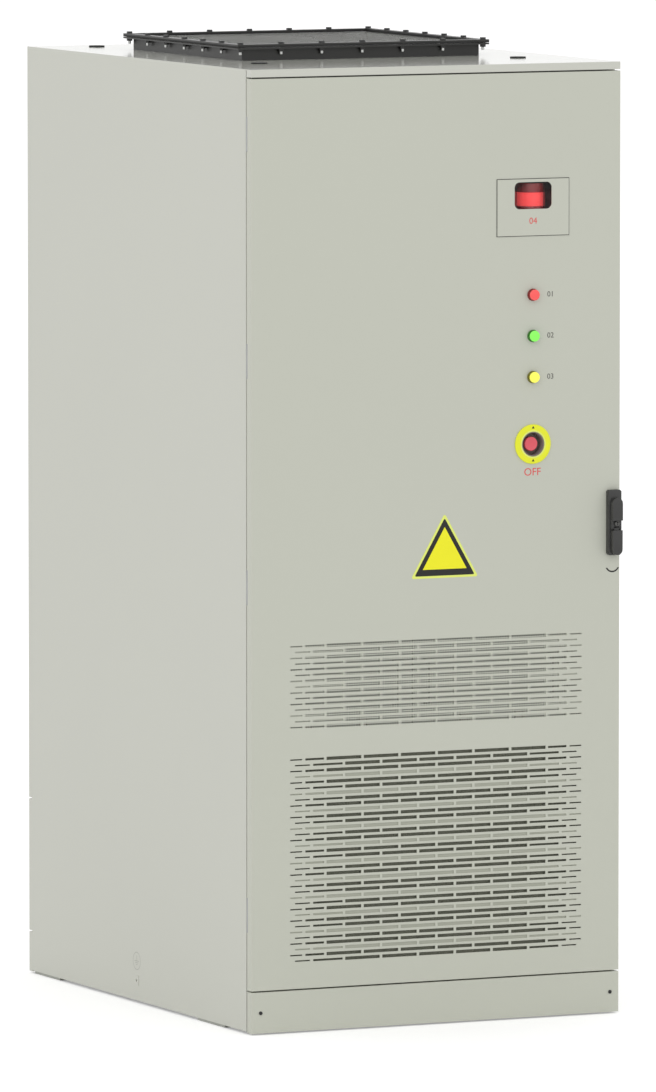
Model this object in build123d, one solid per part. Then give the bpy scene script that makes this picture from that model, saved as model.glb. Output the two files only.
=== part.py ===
from build123d import *
import math
import os

# Battery cabinet: steel cabinet, one slotted front door, battery modules below, switchgear in the
# middle and an exhaust fan under a flanged duct collar in the roof.
# Millimetres. X runs left to right, Y front to back, Z up. The origin is on the floor, in the middle
# of the four anchor holes.

# ---------------------------------------------------------------- cabinet shell
cabinet_width = 800.0
cabinet_height = 1885.0
body_depth = 1052.0
front_depth = 25.0
front_gap = 4.0
seam = 3.0
side_sheet = 1.5
side_flange = 12.0
side_clearance = 5.0
roof_sheet = 2.0
roof_lip = 15.0
rear_return = 14.5
rear_seam = 0.3
rear_kick_height = 81.0
rear_cover_height = 269.0
fit = 0.3

# sides of the prisms that stand for small round pieces; pins and bores that run stay true cylinders
wide_sides = 36
round_sides = 24
small_sides = 12
arch_sides = 8

# ---------------------------------------------------------------- frame
pad_height = 8.0
pad_length = 125.0
pad_width = 58.0
pad_front_inset = 105.0
pad_rear_inset = 25.0
anchor_radius = 7.0
base_height = 80.0
base_flange = 50.0
base_sheet = 4.0
post_width = 46.0
post_depth = 50.0
post_step = 20.0
post_sheet = 2.5
top_rail_height = 50.0
top_rail_width = 50.0
roof_beam_width = 50.0
floor_sheet = 2.0
door_frame_sill = 30.0
depth_rail_height = 40.0
depth_rail_width = 10.0

# ---------------------------------------------------------------- kick plate and door
kick_bottom = 3.0
kick_height = 80.5
kick_screw_inset = 19.0
kick_screw_height = 43.0
kick_boss = 10.0
door_sheet = 2.0
door_lip = 34.0
stiffener_width = 20.0
stiffener_depth = 15.0
stiffener_sheet = 2.0
stiffener_margin = 1.0
seal_width = 10.0
seal_margin = 1.0
seal_squeeze = 0.3

# slots: alternating long rows and short rows, the end slots shorter and lower
slot_pitch_share = 0.1005
slot_pitch_z = 11.3
slot_bridge = 5.2
end_bridge = 6.8
slot_height = 6.5
middle_slot_height = 4.2
end_slot_height = 2.6
vent_side_margin = 83.0
stagger_inset = 10.3
long_row_middle_slot = 40.6
short_row_middle_slot = 64.0
lower_vent_top = 536.6
lower_vent_rows = 36
upper_vent_top = 758.4
upper_vent_rows = 15
vent_margin = 14.0
slat_rows = 3
slat_height = 8.0
slat_sheet = 3.0
filter_depth = 22.0
filter_flange = 15.0
filter_wall = 1.5
mesh_sheet = 1.0

# ---------------------------------------------------------------- door controls
control_side_inset = 191.5
alarm_plate_width = 156.0
alarm_plate_height = 111.0
alarm_plate_drop = 282.0
alarm_plate_sheet = 1.5
window_width = 81.0
window_height = 53.0
window_corner = 11.0
window_rise = 23.0
window_overlap = 4.0
pane_sheet = 1.5
beacon_radius = 27.0
beacon_height = 46.0
beacon_case_wall = 2.5
beacon_case_depth = 62.0
beacon_case_margin = 6.0
beacon_standoff = 5.0
beacon_offset = 10.5
beacon_chamfer = 6.0
lamp_top_drop = 454.0
lamp_pitch = 81.0
lamp_count = 3
lamp_radius = 10.5
lamp_bezel = 13.0
lamp_bezel_height = 2.5
lamp_dome = 9.0
lamp_chamfer = 3.0
lamp_body_depth = 34.0
stop_drop = 748.0
stop_plate_radius = 39.0
stop_plate_sheet = 3.0
stop_cup_radius = 24.5
stop_cup_wall = 2.0
stop_button_radius = 14.0
stop_button_height = 8.0
stop_button_recess = 5.5
stop_travel = 4.0
stop_clearance = 1.5
stop_stem_flats = 11.0
stop_spigot_radius = 4.0
stop_spigot_length = 5.0
stop_block_width = 30.0
stop_block_height = 42.0
stop_block_depth = 34.0
stop_button_chamfer = 2.0

# ---------------------------------------------------------------- swing handle and lock rods
handle_side_inset = 15.5
handle_drop = 973.0
handle_height = 129.0
handle_width = 28.0
handle_base_depth = 12.0
handle_pivot_drop = 37.0
turn_block_width = 22.0
turn_block_height = 44.0
turn_block_depth = 12.5
turn_neck_depth = 6.0
lever_width = 21.0
lever_tongue = 10.0
lever_pocket = 16.0
neck_rise = 4.0
handle_chamfer = 3.0
lever_tip_inset = 1.0
lever_pin_radius = 1.5
lever_pin_drop = 39.0
lock_radius = 5.0
lock_drop = 29.0
lock_proud = 4.5
lock_sink = 4.0
key_slot = (1.6, 7.0, 2.0)
spindle_radius = 4.0
cam_radius = 8.0
cam_sheet = 2.5
cam_pin_radius = 1.5
cam_pin_play = 0.6
rod_width = 8.0
rod_sheet = 3.0
rod_eye = 12.0
rod_end_gap = 5.0
guide_shares = (0.25, 0.62, 0.94)
guide_height = 12.0
guide_wall = 2.0

# ---------------------------------------------------------------- hinges
hinge_top_drop = 126.0
hinge_pitch = 441.5
hinge_bottom = 234.0
upper_hinges = 3
hinge_length = 68.0
hinge_inset = 2.5
hinge_back = 0.7
knuckle_radius = 3.0
hinge_pin_radius = 1.6
pin_play = 0.05
hinge_leaf = 1.5
hinge_leaf_width = 17.5
hinge_leaf_standoff = 4.0
hinge_notch = 3.2
knuckle_gap = 0.3

# ---------------------------------------------------------------- roof duct and plugs
duct_y = 16.0
flange_size = 550.0
flange_height = 22.0
flange_sheet = 3.0
duct_sheet = 2.0
duct_screen_sheet = 1.0
duct_gasket_sheet = 3.0
duct_bolts_per_side = 6
duct_bolt_edge = 9.5
bolt_flats = 10.0
bolt_head = 4.0
nut_height = 5.0
plug_x = 282.0
plug_y = 390.0
plug_radius = 16.0
plug_stem_radius = 12.0
plug_height = 2.5

# ---------------------------------------------------------------- exhaust fan
fan_hole_radius = 225.0
fan_plate_sheet = 2.5
fan_ring_depth = 70.0
fan_ring_sheet = 2.0
fan_tip_gap = 10.0
fan_hub_radius = 75.0
fan_hub_height = 48.0
fan_blades = 7
fan_blade_sheet = 4.0
fan_root_chord = 56.0
fan_tip_chord = 100.0
fan_pitch = 24.0
fan_blade_sink = 3.0
fan_motor_radius = 60.0
fan_motor_height = 50.0
fan_arm_width = 22.0
fan_arm_sheet = 5.0
fan_arms = 3
fan_shaft_radius = 8.0

# ---------------------------------------------------------------- battery rack
module_side_gap = 16.5
module_height = 196.0
module_depth = 700.0
module_front = -480.0
module_columns = 2
module_rows = 3
row_pitch = 226.0
rack_bottom = 112.0
shelf_sheet = 2.0
shelf_fold = 18.0
shelf_overhang = 20.0
module_panel = 6.0
module_recess = 4.0
module_rim = 12.0
module_gap = 12.0
panel_overhang = 3.0
terminal_band = 44.0
terminal_offset = 60.0
shelf_rail_width = 24.0
shelf_rail_sheet = 3.0
terminal_width = 20.0
terminal_tall = 26.0
terminal_height = 14.0
grip_width = 16.0
grip_reach = 26.0
grip_bar = 10.0
grip_length = 96.0

# ---------------------------------------------------------------- switchgear
gear_plate_y = -230.0
gear_plate_rise = 68.0
gear_plate_drop = 225.0
gear_plate_sheet = 2.5
breaker_x = -150.0
breaker_share = 0.6875
breaker_size = (140.0, 100.0, 250.0)
breaker_shoulder_depth = 70.0
breaker_nose_width = 100.0
breaker_nose_height = 105.0
breaker_well_depth = 26.0
breaker_well_end = 4.0
toggle_width = 26.0
toggle_length = 42.0
toggle_radius = 9.0
toggle_neck = (16.0, 9.0)
toggle_axis_depth = 14.0
contactor_share = 0.215
contactor_x = (-210.0, -90.0)
contactor_size = (84.0, 64.0, 120.0)
contactor_head = (68.0, 104.0, 66.0)
busbar_width = 24.0
busbar_sheet = 5.0
busbar_gap = 70.0
insulator_flats = 30.0
insulator_inset = 30.0
insulator_height = 40.0
controller_x = 160.0
controller_share = 0.735
controller_size = (250.0, 60.0, 190.0)
socket_row = (210.0, 36.0, 14.0)
supply_x = 110.0
supply_share = 0.42
supply_size = (64.0, 110.0, 124.0)
terminal_rail_share = 0.155
terminal_rail_x = 165.0
terminal_rail_length = 270.0
terminal_count = 14
terminal_size = (12.0, 46.0, 52.0)
terminal_gap = 1.0
rail_height = 35.0
rail_depth = 7.5
rail_sheet = 1.0
rail_flange = 5.0

# ---------------------------------------------------------------- earth point
earth_y = -45.5
earth_z = 45.0
earth_size = 20.0
earth_sheet = 1.0
earth_hole_radius = 3.3

# ---------------------------------------------------------------- derived planes
half_width = cabinet_width / 2
anchor_spacing_y = body_depth - pad_front_inset - pad_length - pad_rear_inset
body_front = -anchor_spacing_y / 2 - pad_length / 2 - pad_front_inset
body_rear = body_front + body_depth
front_plane = body_front - front_depth
door_back = body_front - front_gap
door_bottom = kick_bottom + kick_height + seam
door_top = cabinet_height - roof_lip - seam
skin_back = front_plane + door_sheet
roof_underside = cabinet_height - roof_sheet
side_rear = body_rear - rear_return - rear_seam
frame_front = body_front + side_sheet
frame_rear = side_rear - side_sheet
frame_half = half_width - side_sheet
base_top = pad_height + base_height
floor_top = base_top + floor_sheet
post_inner = frame_half - post_width
top_rail_bottom = roof_underside - top_rail_height
flange_bottom = cabinet_height + flange_height
flange_top = flange_bottom + flange_sheet
screen_top = flange_top + duct_screen_sheet
gasket_top = screen_top + duct_gasket_sheet
duct_top = gasket_top + flange_sheet
flange_inset = duct_bolt_edge + bolt_flats / math.sqrt(3) + fit
duct_outer = flange_size - 2 * flange_inset
duct_inner = duct_outer - 2 * duct_sheet
fan_plate_top = top_rail_bottom
fan_plate_bottom = fan_plate_top - fan_plate_sheet
pad_x = frame_half - pad_width / 2
control_x = half_width - control_side_inset
alarm_plate_z = cabinet_height - alarm_plate_drop
window_z = alarm_plate_z + window_rise
lamp_top_z = cabinet_height - lamp_top_drop
stop_z = cabinet_height - stop_drop
handle_x = half_width - handle_side_inset
handle_bottom = cabinet_height - handle_drop
handle_pivot_z = handle_bottom + handle_height - handle_pivot_drop
handle_front = front_plane - handle_base_depth
lever_pin_z = handle_pivot_z - lever_pin_drop
hinge_x = -half_width + hinge_inset
hinge_y = door_back + hinge_back
hinge_top = cabinet_height - hinge_top_drop
hinge_heights = [hinge_bottom] + [hinge_top - i * hinge_pitch for i in range(upper_hinges)]
slot_pitch_x = cabinet_width * slot_pitch_share
vent_half_width = half_width - vent_side_margin
staggered_half_width = vent_half_width - stagger_inset
vent_inner_half = vent_half_width + vent_margin
module_width = post_inner - module_gap / 2 - module_side_gap
rack_top = rack_bottom + shelf_sheet + (module_rows - 1) * row_pitch + module_height
gear_plate_bottom = rack_top + gear_plate_rise
gear_plate_height = cabinet_height - gear_plate_drop - gear_plate_bottom
breaker_z = gear_plate_bottom + breaker_share * gear_plate_height
contactor_z = gear_plate_bottom + contactor_share * gear_plate_height
controller_z = gear_plate_bottom + controller_share * gear_plate_height
supply_z = gear_plate_bottom + supply_share * gear_plate_height
terminal_rail_z = gear_plate_bottom + terminal_rail_share * gear_plate_height
busbar_bottom = contactor_z + contactor_size[2] / 2
busbar_top = breaker_z - breaker_size[2] / 2

os.makedirs("parts", exist_ok=True)


def block(x0, x1, y0, y1, z0, z1):
    """Box between two corners."""
    centre = Pos((x0 + x1) / 2, (y0 + y1) / 2, (z0 + z1) / 2)
    return centre * Box(x1 - x0, y1 - y0, z1 - z0)


def disc_y(x, z, radius, y0, y1):
    """Cylinder along Y."""
    return Pos(x, (y0 + y1) / 2, z) * Rot(90, 0, 0) * Cylinder(radius, y1 - y0)


def disc_z(x, y, radius, z0, z1):
    """Cylinder along Z."""
    return Pos(x, y, (z0 + z1) / 2) * Cylinder(radius, z1 - z0)


def disc_x(y, z, radius, x0, x1):
    """Cylinder along X."""
    return Pos((x0 + x1) / 2, y, z) * Rot(0, 90, 0) * Cylinder(radius, x1 - x0)


def prism_y(points, y0, y1):
    """Outline of X, Z points, extruded along Y."""
    outline = Wire.make_polygon([(x, y0, z) for x, z in points])
    return Solid.extrude(Face(outline), Vector(0, y1 - y0, 0))


def prism_x(points, x0, x1):
    """Outline of Y, Z points, extruded along X."""
    outline = Wire.make_polygon([(x0, y, z) for y, z in points])
    return Solid.extrude(Face(outline), Vector(x1 - x0, 0, 0))


def prism_z(points, z0, z1):
    """Outline of X, Y points, extruded along Z."""
    outline = Wire.make_polygon([(x, y, z0) for x, y in points])
    return Solid.extrude(Face(outline), Vector(0, 0, z1 - z0))


def polygon(a, b, radius, sides):
    """Corners of a regular polygon round a centre."""
    turns = [2 * math.pi * (i + 0.5) / sides for i in range(sides)]
    return [(a + radius * math.cos(turn), b + radius * math.sin(turn)) for turn in turns]


def ring_xy(outer_x, outer_y, inner_x, inner_y, centre_y, z0, z1):
    """Flat rectangular ring around X = 0, from half sizes."""
    outer = block(-outer_x, outer_x, centre_y - outer_y, centre_y + outer_y, z0, z1)
    return outer - block(-inner_x, inner_x, centre_y - inner_y, centre_y + inner_y, z0, z1)


def tray(x0, x1, y0, y1, z0, z1, wall, lip, face):
    """Folded pan: a skin on one side, four returns and a lip round the open side."""
    pan = block(x0, x1, y0, y1, z0, z1)
    if face == "front":
        pan -= block(x0 + wall, x1 - wall, y0 + wall, y1 - wall, z0 + wall, z1 - wall)
        return pan - block(x0 + lip, x1 - lip, y1 - wall, y1, z0 + lip, z1 - lip)
    if face == "rear":
        pan -= block(x0 + wall, x1 - wall, y0 + wall, y1 - wall, z0 + wall, z1 - wall)
        return pan - block(x0 + lip, x1 - lip, y0, y0 + wall, z0 + lip, z1 - lip)
    pan -= block(x0 + wall, x1 - wall, y0 + wall, y1 - wall, z0, z1 - wall)
    return pan


def write(node, shape):
    """One STEP file per node."""
    shape.label = node
    export_step(shape, os.path.join("parts", node + ".step"))


def group(solids):
    """Separate solids kept in one node."""
    return Compound(children=list(solids))


# ================================================================ frame
def base_frame():
    """Ring of channels, open towards the middle, on four welded pads with the anchor holes."""
    rear = frame_rear
    front = frame_front
    frame = block(-frame_half, frame_half, front, rear, pad_height, base_top)
    inner = frame_half - base_flange
    frame -= block(-inner, inner, front + base_flange, rear - base_flange, pad_height, base_top)
    frame -= block(-frame_half + base_sheet, frame_half - base_sheet, front + base_sheet,
                   rear - base_sheet, pad_height + base_sheet, base_top - base_sheet)
    for x in (-pad_x, pad_x):
        for y in (-anchor_spacing_y / 2, anchor_spacing_y / 2):
            frame += block(x - pad_width / 2, x + pad_width / 2, y - pad_length / 2, y + pad_length / 2,
                           0, pad_height)
            frame -= disc_z(x, y, anchor_radius, 0, pad_height + base_sheet)
    return frame


def post_outline(x_side, y_side, inset):
    """L-shaped corner post, its step towards the middle of the cabinet."""
    corner_x = x_side * frame_half
    corner_y = frame_front if y_side < 0 else frame_rear
    across = (inset, post_width - inset)
    along = (inset, post_depth - inset)
    step_x = post_width - post_step - inset
    step_y = post_depth - post_step - inset
    local = [(across[0], along[0]), (across[1], along[0]), (across[1], step_y), (step_x, step_y),
             (step_x, along[1]), (across[0], along[1])]
    return [(corner_x - x_side * x, corner_y - y_side * y) for x, y in local]


def corner_posts():
    posts = []
    for x_side in (-1, 1):
        for y_side in (-1, 1):
            outside = prism_z(post_outline(x_side, y_side, 0), base_top, top_rail_bottom)
            inside = prism_z(post_outline(x_side, y_side, post_sheet), base_top, top_rail_bottom)
            posts.append(outside - inside)
    return group(posts)


def top_frame():
    """Roof rails with the two cross members that carry the lifting points and the fan."""
    inner = frame_half - top_rail_width
    frame = block(-frame_half, frame_half, frame_front, frame_rear, top_rail_bottom, roof_underside)
    frame -= block(-inner, inner, frame_front + top_rail_width, frame_rear - top_rail_width,
                   top_rail_bottom, roof_underside)
    for side in (-1, 1):
        y = duct_y + side * plug_y
        beam = block(-inner, inner, y - roof_beam_width / 2, y + roof_beam_width / 2,
                     top_rail_bottom, roof_underside)
        frame += beam
    return frame


def depth_rails():
    """Rails from the front posts to the rear posts, under the shelves and beside the gear plate."""
    rails = []
    for row in range(module_rows):
        top = rack_bottom + row * row_pitch + shelf_sheet - shelf_fold
        for side in (-1, 1):
            x = sorted((side * post_inner, side * (post_inner - shelf_rail_width)))
            rails.append(block(x[0], x[1], frame_front + post_sheet, frame_rear - post_sheet,
                               top - shelf_rail_sheet, top))
    ends = (gear_plate_bottom, gear_plate_bottom + gear_plate_height - depth_rail_height)
    for side in (-1, 1):
        for z in ends:
            x = sorted((side * post_inner, side * (post_inner - depth_rail_width)))
            rails.append(block(x[0], x[1], frame_front + post_sheet, frame_rear - post_sheet,
                               z, z + depth_rail_height))
    return group(rails)


def floor_plate():
    inner = post_inner - fit
    return block(-inner, inner, frame_front + post_depth, frame_rear - post_depth, base_top, floor_top)


def door_frame():
    """Folded frame round the door opening, the face that the door seal meets."""
    outer = half_width - side_flange - fit
    bottom = base_top
    top = top_rail_bottom
    frame = block(-outer, outer, body_front, frame_front, bottom, roof_underside - fit)
    return frame - block(-post_inner, post_inner, body_front, frame_front,
                         bottom + door_frame_sill, top)


# ================================================================ covers
def side_panel(side):
    """Sheet with its front and rear edges folded inwards."""
    outer = side * half_width
    skin = side * (half_width - side_sheet)
    flange = side * (half_width - side_flange)
    x = sorted((outer, flange))
    cut = sorted((skin, flange))
    top = roof_underside
    panel = block(x[0], x[1], body_front, side_rear, side_clearance, top)
    return panel - block(cut[0], cut[1], frame_front, frame_rear, side_clearance, top)


def left_panel():
    """Left side panel with the welded earth pad and its threaded hole."""
    outer = -half_width - earth_sheet
    half = earth_size / 2
    panel = side_panel(-1)
    panel += block(outer, -half_width, earth_y - half, earth_y + half, earth_z - half, earth_z + half)
    return panel - disc_x(earth_y, earth_z, earth_hole_radius, outer, -half_width + side_sheet)


def rear_panel(z0, z1):
    """Rear cover folded round to the sides."""
    return tray(-half_width, half_width, side_rear + rear_seam, body_rear, z0, z1,
                side_sheet, rear_return + side_sheet, "rear")


def roof_panel():
    """Roof sheet with the lip above the door, the duct hole and four lifting holes."""
    panel = block(-half_width, half_width, front_plane, body_rear, roof_underside, cabinet_height)
    lip_bottom = cabinet_height - roof_lip
    panel += block(-half_width, half_width, front_plane, front_plane + roof_sheet,
                   lip_bottom, roof_underside)
    for side in (-1, 1):
        x = sorted((side * half_width, side * (half_width - side_sheet)))
        panel += block(x[0], x[1], front_plane, door_back, lip_bottom, roof_underside)
    half = duct_outer / 2 + fit
    panel -= block(-half, half, duct_y - half, duct_y + half, roof_underside, cabinet_height)
    for x in (-plug_x, plug_x):
        for side in (-1, 1):
            y = duct_y + side * plug_y
            panel -= prism_z(polygon(x, y, plug_stem_radius, small_sides), roof_underside, cabinet_height)
    return panel


def roof_plugs():
    plugs = []
    for x in (-plug_x, plug_x):
        for side in (-1, 1):
            y = duct_y + side * plug_y
            cap = polygon(x, y, plug_radius, small_sides)
            stem = polygon(x, y, plug_stem_radius - fit, small_sides)
            plugs.append(prism_z(cap, cabinet_height, cabinet_height + plug_height)
                         + prism_z(stem, roof_underside, cabinet_height))
    return group(plugs)


def kick_plate():
    """Front kick plate, as proud as the door, on two bosses for its screws."""
    top = kick_bottom + kick_height
    plate = block(-half_width, half_width, front_plane, door_back, kick_bottom, top)
    plate -= block(-half_width + door_sheet, half_width - door_sheet, skin_back, door_back,
                   kick_bottom + door_sheet, top - door_sheet)
    half = kick_boss / 2
    for x in (-half_width + kick_screw_inset, half_width - kick_screw_inset):
        plate += block(x - half, x + half, skin_back, frame_front, kick_screw_height - half,
                       kick_screw_height + half)
    return plate


# ================================================================ duct
def duct_collar():
    """Square sleeve from the fan plate through the roof, folded out to a flange."""
    outer = duct_outer / 2
    inner = duct_inner / 2
    half = flange_size / 2
    sleeve = block(-outer, outer, duct_y - outer, duct_y + outer, fan_plate_top, flange_top)
    sleeve += block(-half, half, duct_y - half, duct_y + half, flange_bottom, flange_top)
    return sleeve - block(-inner, inner, duct_y - inner, duct_y + inner, fan_plate_top, flange_top)


def flange_ring(z0, z1):
    half = flange_size / 2
    inner = duct_inner / 2
    return ring_xy(half, half, inner, inner, duct_y, z0, z1)


def duct_screen():
    half = flange_size / 2
    return block(-half, half, duct_y - half, duct_y + half, flange_top, screen_top)


def hexagon(x, y, flats):
    """Corners of a hexagon of that size across its flats."""
    return polygon(x, y, flats / math.sqrt(3), 6)


def bolt_places():
    """Bolt centres round the flange, corners included."""
    half = flange_size / 2 - duct_bolt_edge
    pitch = 2 * half / duct_bolts_per_side
    places = []
    for i in range(duct_bolts_per_side):
        step = -half + i * pitch
        places += [(step, -half), (half, step), (-step, half), (-half, -step)]
    return [(x, duct_y + y) for x, y in places]


def duct_bolts():
    """Hexagon heads above the flanges and nuts below them."""
    outlines = [hexagon(x, y, bolt_flats) for x, y in bolt_places()]
    heads = [prism_z(outline, duct_top, duct_top + bolt_head) for outline in outlines]
    nuts = [prism_z(outline, flange_bottom - nut_height, flange_bottom) for outline in outlines]
    return group(heads + nuts)


# ================================================================ fan
def fan_plate():
    """Plate under the roof beams with the fan's inlet ring."""
    reach = plug_y + roof_beam_width / 2
    half = post_inner - 2 * depth_rail_width
    plate = block(-half, half, duct_y - reach, duct_y + reach, fan_plate_bottom, fan_plate_top)
    outer = polygon(0, duct_y, fan_hole_radius + fan_ring_sheet, wide_sides)
    inner = polygon(0, duct_y, fan_hole_radius, wide_sides)
    plate += prism_z(outer, fan_plate_bottom - fan_ring_depth, fan_plate_bottom)
    return plate - prism_z(inner, fan_plate_bottom - fan_ring_depth, fan_plate_top)


def fan_motor():
    """Motor on three flat arms under the inlet ring, with its shaft up into the hub."""
    ring_bottom = fan_plate_bottom - fan_ring_depth
    arm_top = ring_bottom
    motor = prism_z(polygon(0, duct_y, fan_motor_radius, round_sides), arm_top - fan_motor_height, arm_top)
    reach = fan_hole_radius + fan_ring_sheet
    for i in range(fan_arms):
        arm = block(fan_motor_radius / 2, reach, -fan_arm_width / 2, fan_arm_width / 2,
                    arm_top - fan_arm_sheet, arm_top)
        motor += Pos(0, duct_y, 0) * Rot(0, 0, 90 + 360 / fan_arms * i) * arm
    return motor + disc_z(0, duct_y, fan_shaft_radius, arm_top, arm_top + fan_hub_height / 2)


def fan_rotor():
    """Hub with pitched blades that widen towards their tips."""
    hub_bottom = fan_plate_bottom - fan_ring_depth + 2 * fit
    rotor = prism_z(polygon(0, duct_y, fan_hub_radius, wide_sides), hub_bottom, hub_bottom + fan_hub_height)
    rotor -= disc_z(0, duct_y, fan_shaft_radius + pin_play, hub_bottom, hub_bottom + fan_hub_height / 2)
    root = fan_hub_radius - fan_blade_sink
    tip = fan_hole_radius - fan_tip_gap
    outline = [(root, -fan_root_chord / 2), (tip, -fan_tip_chord / 2), (tip, fan_tip_chord / 2),
               (root, fan_root_chord / 2)]
    blade = Rot(fan_pitch, 0, 0) * prism_z(outline, -fan_blade_sheet / 2, fan_blade_sheet / 2)
    for i in range(fan_blades):
        place = Pos(0, duct_y, hub_bottom + fan_hub_height / 2) * Rot(0, 0, i * 360 / fan_blades)
        rotor += place * blade
    return rotor


# ================================================================ battery rack
def module_place(column, row):
    x = (column - (module_columns - 1) / 2) * (module_width + module_gap)
    return x, rack_bottom + shelf_sheet + row * row_pitch


def rack_shelves():
    shelves = []
    for row in range(module_rows):
        top = rack_bottom + row * row_pitch + shelf_sheet
        bottom = top - shelf_fold
        rear = module_front + module_depth + shelf_overhang
        shelf = block(-post_inner, post_inner, module_front, rear, bottom, top)
        shelf -= block(-post_inner + shelf_sheet, post_inner - shelf_sheet, module_front + shelf_sheet,
                       rear - shelf_sheet, bottom, top - shelf_sheet)
        shelves.append(shelf)
    return group(shelves)


def battery_row(row):
    """The modules that stand on one shelf."""
    return group([battery_module(column, row) for column in range(module_columns)])


def battery_module(column, row):
    """Closed case with a framed front panel, two terminals and two bow grips."""
    x, z = module_place(column, row)
    half = module_width / 2
    front = module_front
    case = block(x - half, x + half, front + module_panel, front + module_depth, z, z + module_height)
    wide = half + panel_overhang
    panel = block(x - wide, x + wide, front, front + module_panel, z, z + module_height)
    floor = front + module_recess
    recess = block(x - half + module_rim, x + half - module_rim, front, floor, z + terminal_band,
                   z + module_height - module_rim)
    module = case + panel - recess
    for side in (-1, 1):
        gx = x + side * (half - module_rim - grip_width)
        low = z + module_height / 2 - grip_length / 2
        high = low + grip_length
        grip = block(gx - grip_width / 2, gx + grip_width / 2, front - grip_reach, floor, low, high)
        grip -= block(gx - grip_width / 2, gx + grip_width / 2, front - grip_reach + grip_bar,
                      floor, low + grip_bar, high - grip_bar)
        module += grip
    return module


def module_terminals():
    """Power sockets low on each module's front."""
    terminals = []
    for row in range(module_rows):
        for column in range(module_columns):
            x, z = module_place(column, row)
            for side in (-1, 1):
                tx = x + side * terminal_offset
                tz = z + terminal_band / 2
                terminals.append(block(tx - terminal_width / 2, tx + terminal_width / 2,
                                       module_front - terminal_height, module_front,
                                       tz - terminal_tall / 2, tz + terminal_tall / 2))
    return group(terminals)


# ================================================================ switchgear
def gear_plate():
    edge = post_inner - depth_rail_width
    return block(-edge, edge, gear_plate_y, gear_plate_y + gear_plate_sheet,
                 gear_plate_bottom, gear_plate_bottom + gear_plate_height)


def on_plate(x, z, size):
    """Closed device case standing on the plate."""
    wide, deep, high = size
    return block(x - wide / 2, x + wide / 2, gear_plate_y - deep, gear_plate_y, z - high / 2, z + high / 2)


def main_breaker():
    """Moulded case with shoulders and the slot that the toggle swings in."""
    wide, deep, high = breaker_size
    case = on_plate(breaker_x, breaker_z, (wide, breaker_shoulder_depth, high))
    case += on_plate(breaker_x, breaker_z, (breaker_nose_width, deep, breaker_nose_height))
    front = gear_plate_y - deep
    across = toggle_width / 2 + fit
    reach = toggle_radius + toggle_width / 2 + breaker_well_end
    return case - block(breaker_x - across, breaker_x + across, front, front + breaker_well_depth,
                        breaker_z - reach, breaker_z + reach)


def breaker_toggle():
    """Rocking handle on a round foot inside the case's well."""
    front = gear_plate_y - breaker_size[1]
    axis_y = front + toggle_axis_depth
    half = toggle_width / 2
    foot = disc_x(axis_y, breaker_z, toggle_radius, breaker_x - half, breaker_x + half)
    wide, high = toggle_neck
    return foot + block(breaker_x - wide / 2, breaker_x + wide / 2, axis_y - toggle_length, axis_y,
                        breaker_z - high / 2, breaker_z + high / 2)


def contactors():
    """Two contactors, each a base with a smaller coil head."""
    return group([on_plate(x, contactor_z, contactor_size) + on_plate(x, contactor_z, contactor_head)
                  for x in contactor_x])


def insulator_places():
    places = []
    for side in (-1, 1):
        x = breaker_x + side * busbar_gap / 2
        places += [(x, busbar_top - insulator_inset), (x, busbar_bottom + insulator_inset)]
    return places


def busbars():
    """Two bars, each on its pair of hexagonal insulators."""
    back = gear_plate_y - insulator_height
    bars = [prism_y(hexagon(x, z, insulator_flats), back, gear_plate_y) for x, z in insulator_places()]
    for side in (-1, 1):
        x = breaker_x + side * busbar_gap / 2
        bars.append(block(x - busbar_width / 2, x + busbar_width / 2, back - busbar_sheet, back,
                          busbar_bottom, busbar_top))
    return group(bars)


def controller():
    """Control unit: flat case with a connector row along its foot."""
    case = on_plate(controller_x, controller_z, controller_size)
    socket_z = controller_z - controller_size[2] / 2 - socket_row[2] / 2
    return case + on_plate(controller_x, socket_z, socket_row)


def power_supply():
    return on_plate(supply_x, supply_z, supply_size)


def mounting_rail():
    """Top-hat rail of the terminal row."""
    half = terminal_rail_length / 2
    middle = terminal_rail_z
    back = gear_plate_y
    hat = block(terminal_rail_x - half, terminal_rail_x + half, back - rail_depth, back,
                middle - rail_height / 2, middle + rail_height / 2)
    return hat - block(terminal_rail_x - half, terminal_rail_x + half, back - rail_depth, back - rail_sheet,
                       middle - rail_height / 2 + rail_flange, middle + rail_height / 2 - rail_flange)


def terminal_row():
    """Feed-through terminals side by side on the rail."""
    wide, deep, high = terminal_size
    pitch = wide + terminal_gap
    start = terminal_rail_x - terminal_count * pitch / 2
    front = gear_plate_y - rail_depth
    blocks = []
    for i in range(terminal_count):
        x = start + i * pitch
        blocks.append(block(x, x + wide, front - deep, front, terminal_rail_z - high / 2,
                            terminal_rail_z + high / 2))
    return group(blocks)


# ================================================================ door
def slot_row(staggered):
    """Slots of one row, from the middle outwards: centre, width and height."""
    slots = []
    long_slot = slot_pitch_x - slot_bridge
    if staggered:
        long_centres = [i * slot_pitch_x for i in range(-2, 3)]
        middle_slot = short_row_middle_slot
        edge = staggered_half_width
    else:
        long_centres = [(i + 0.5) * slot_pitch_x for i in range(-3, 3)]
        middle_slot = long_row_middle_slot
        edge = vent_half_width
    for x in long_centres:
        slots.append((x, long_slot, slot_height))
    long_end = long_centres[-1] + long_slot / 2
    middle_start = long_end + slot_bridge
    end_start = middle_start + middle_slot + end_bridge
    for side in (-1, 1):
        slots.append((side * (middle_start + middle_slot / 2), middle_slot, middle_slot_height))
        slots.append((side * (end_start + edge) / 2, edge - end_start, end_slot_height))
    return slots


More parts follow.
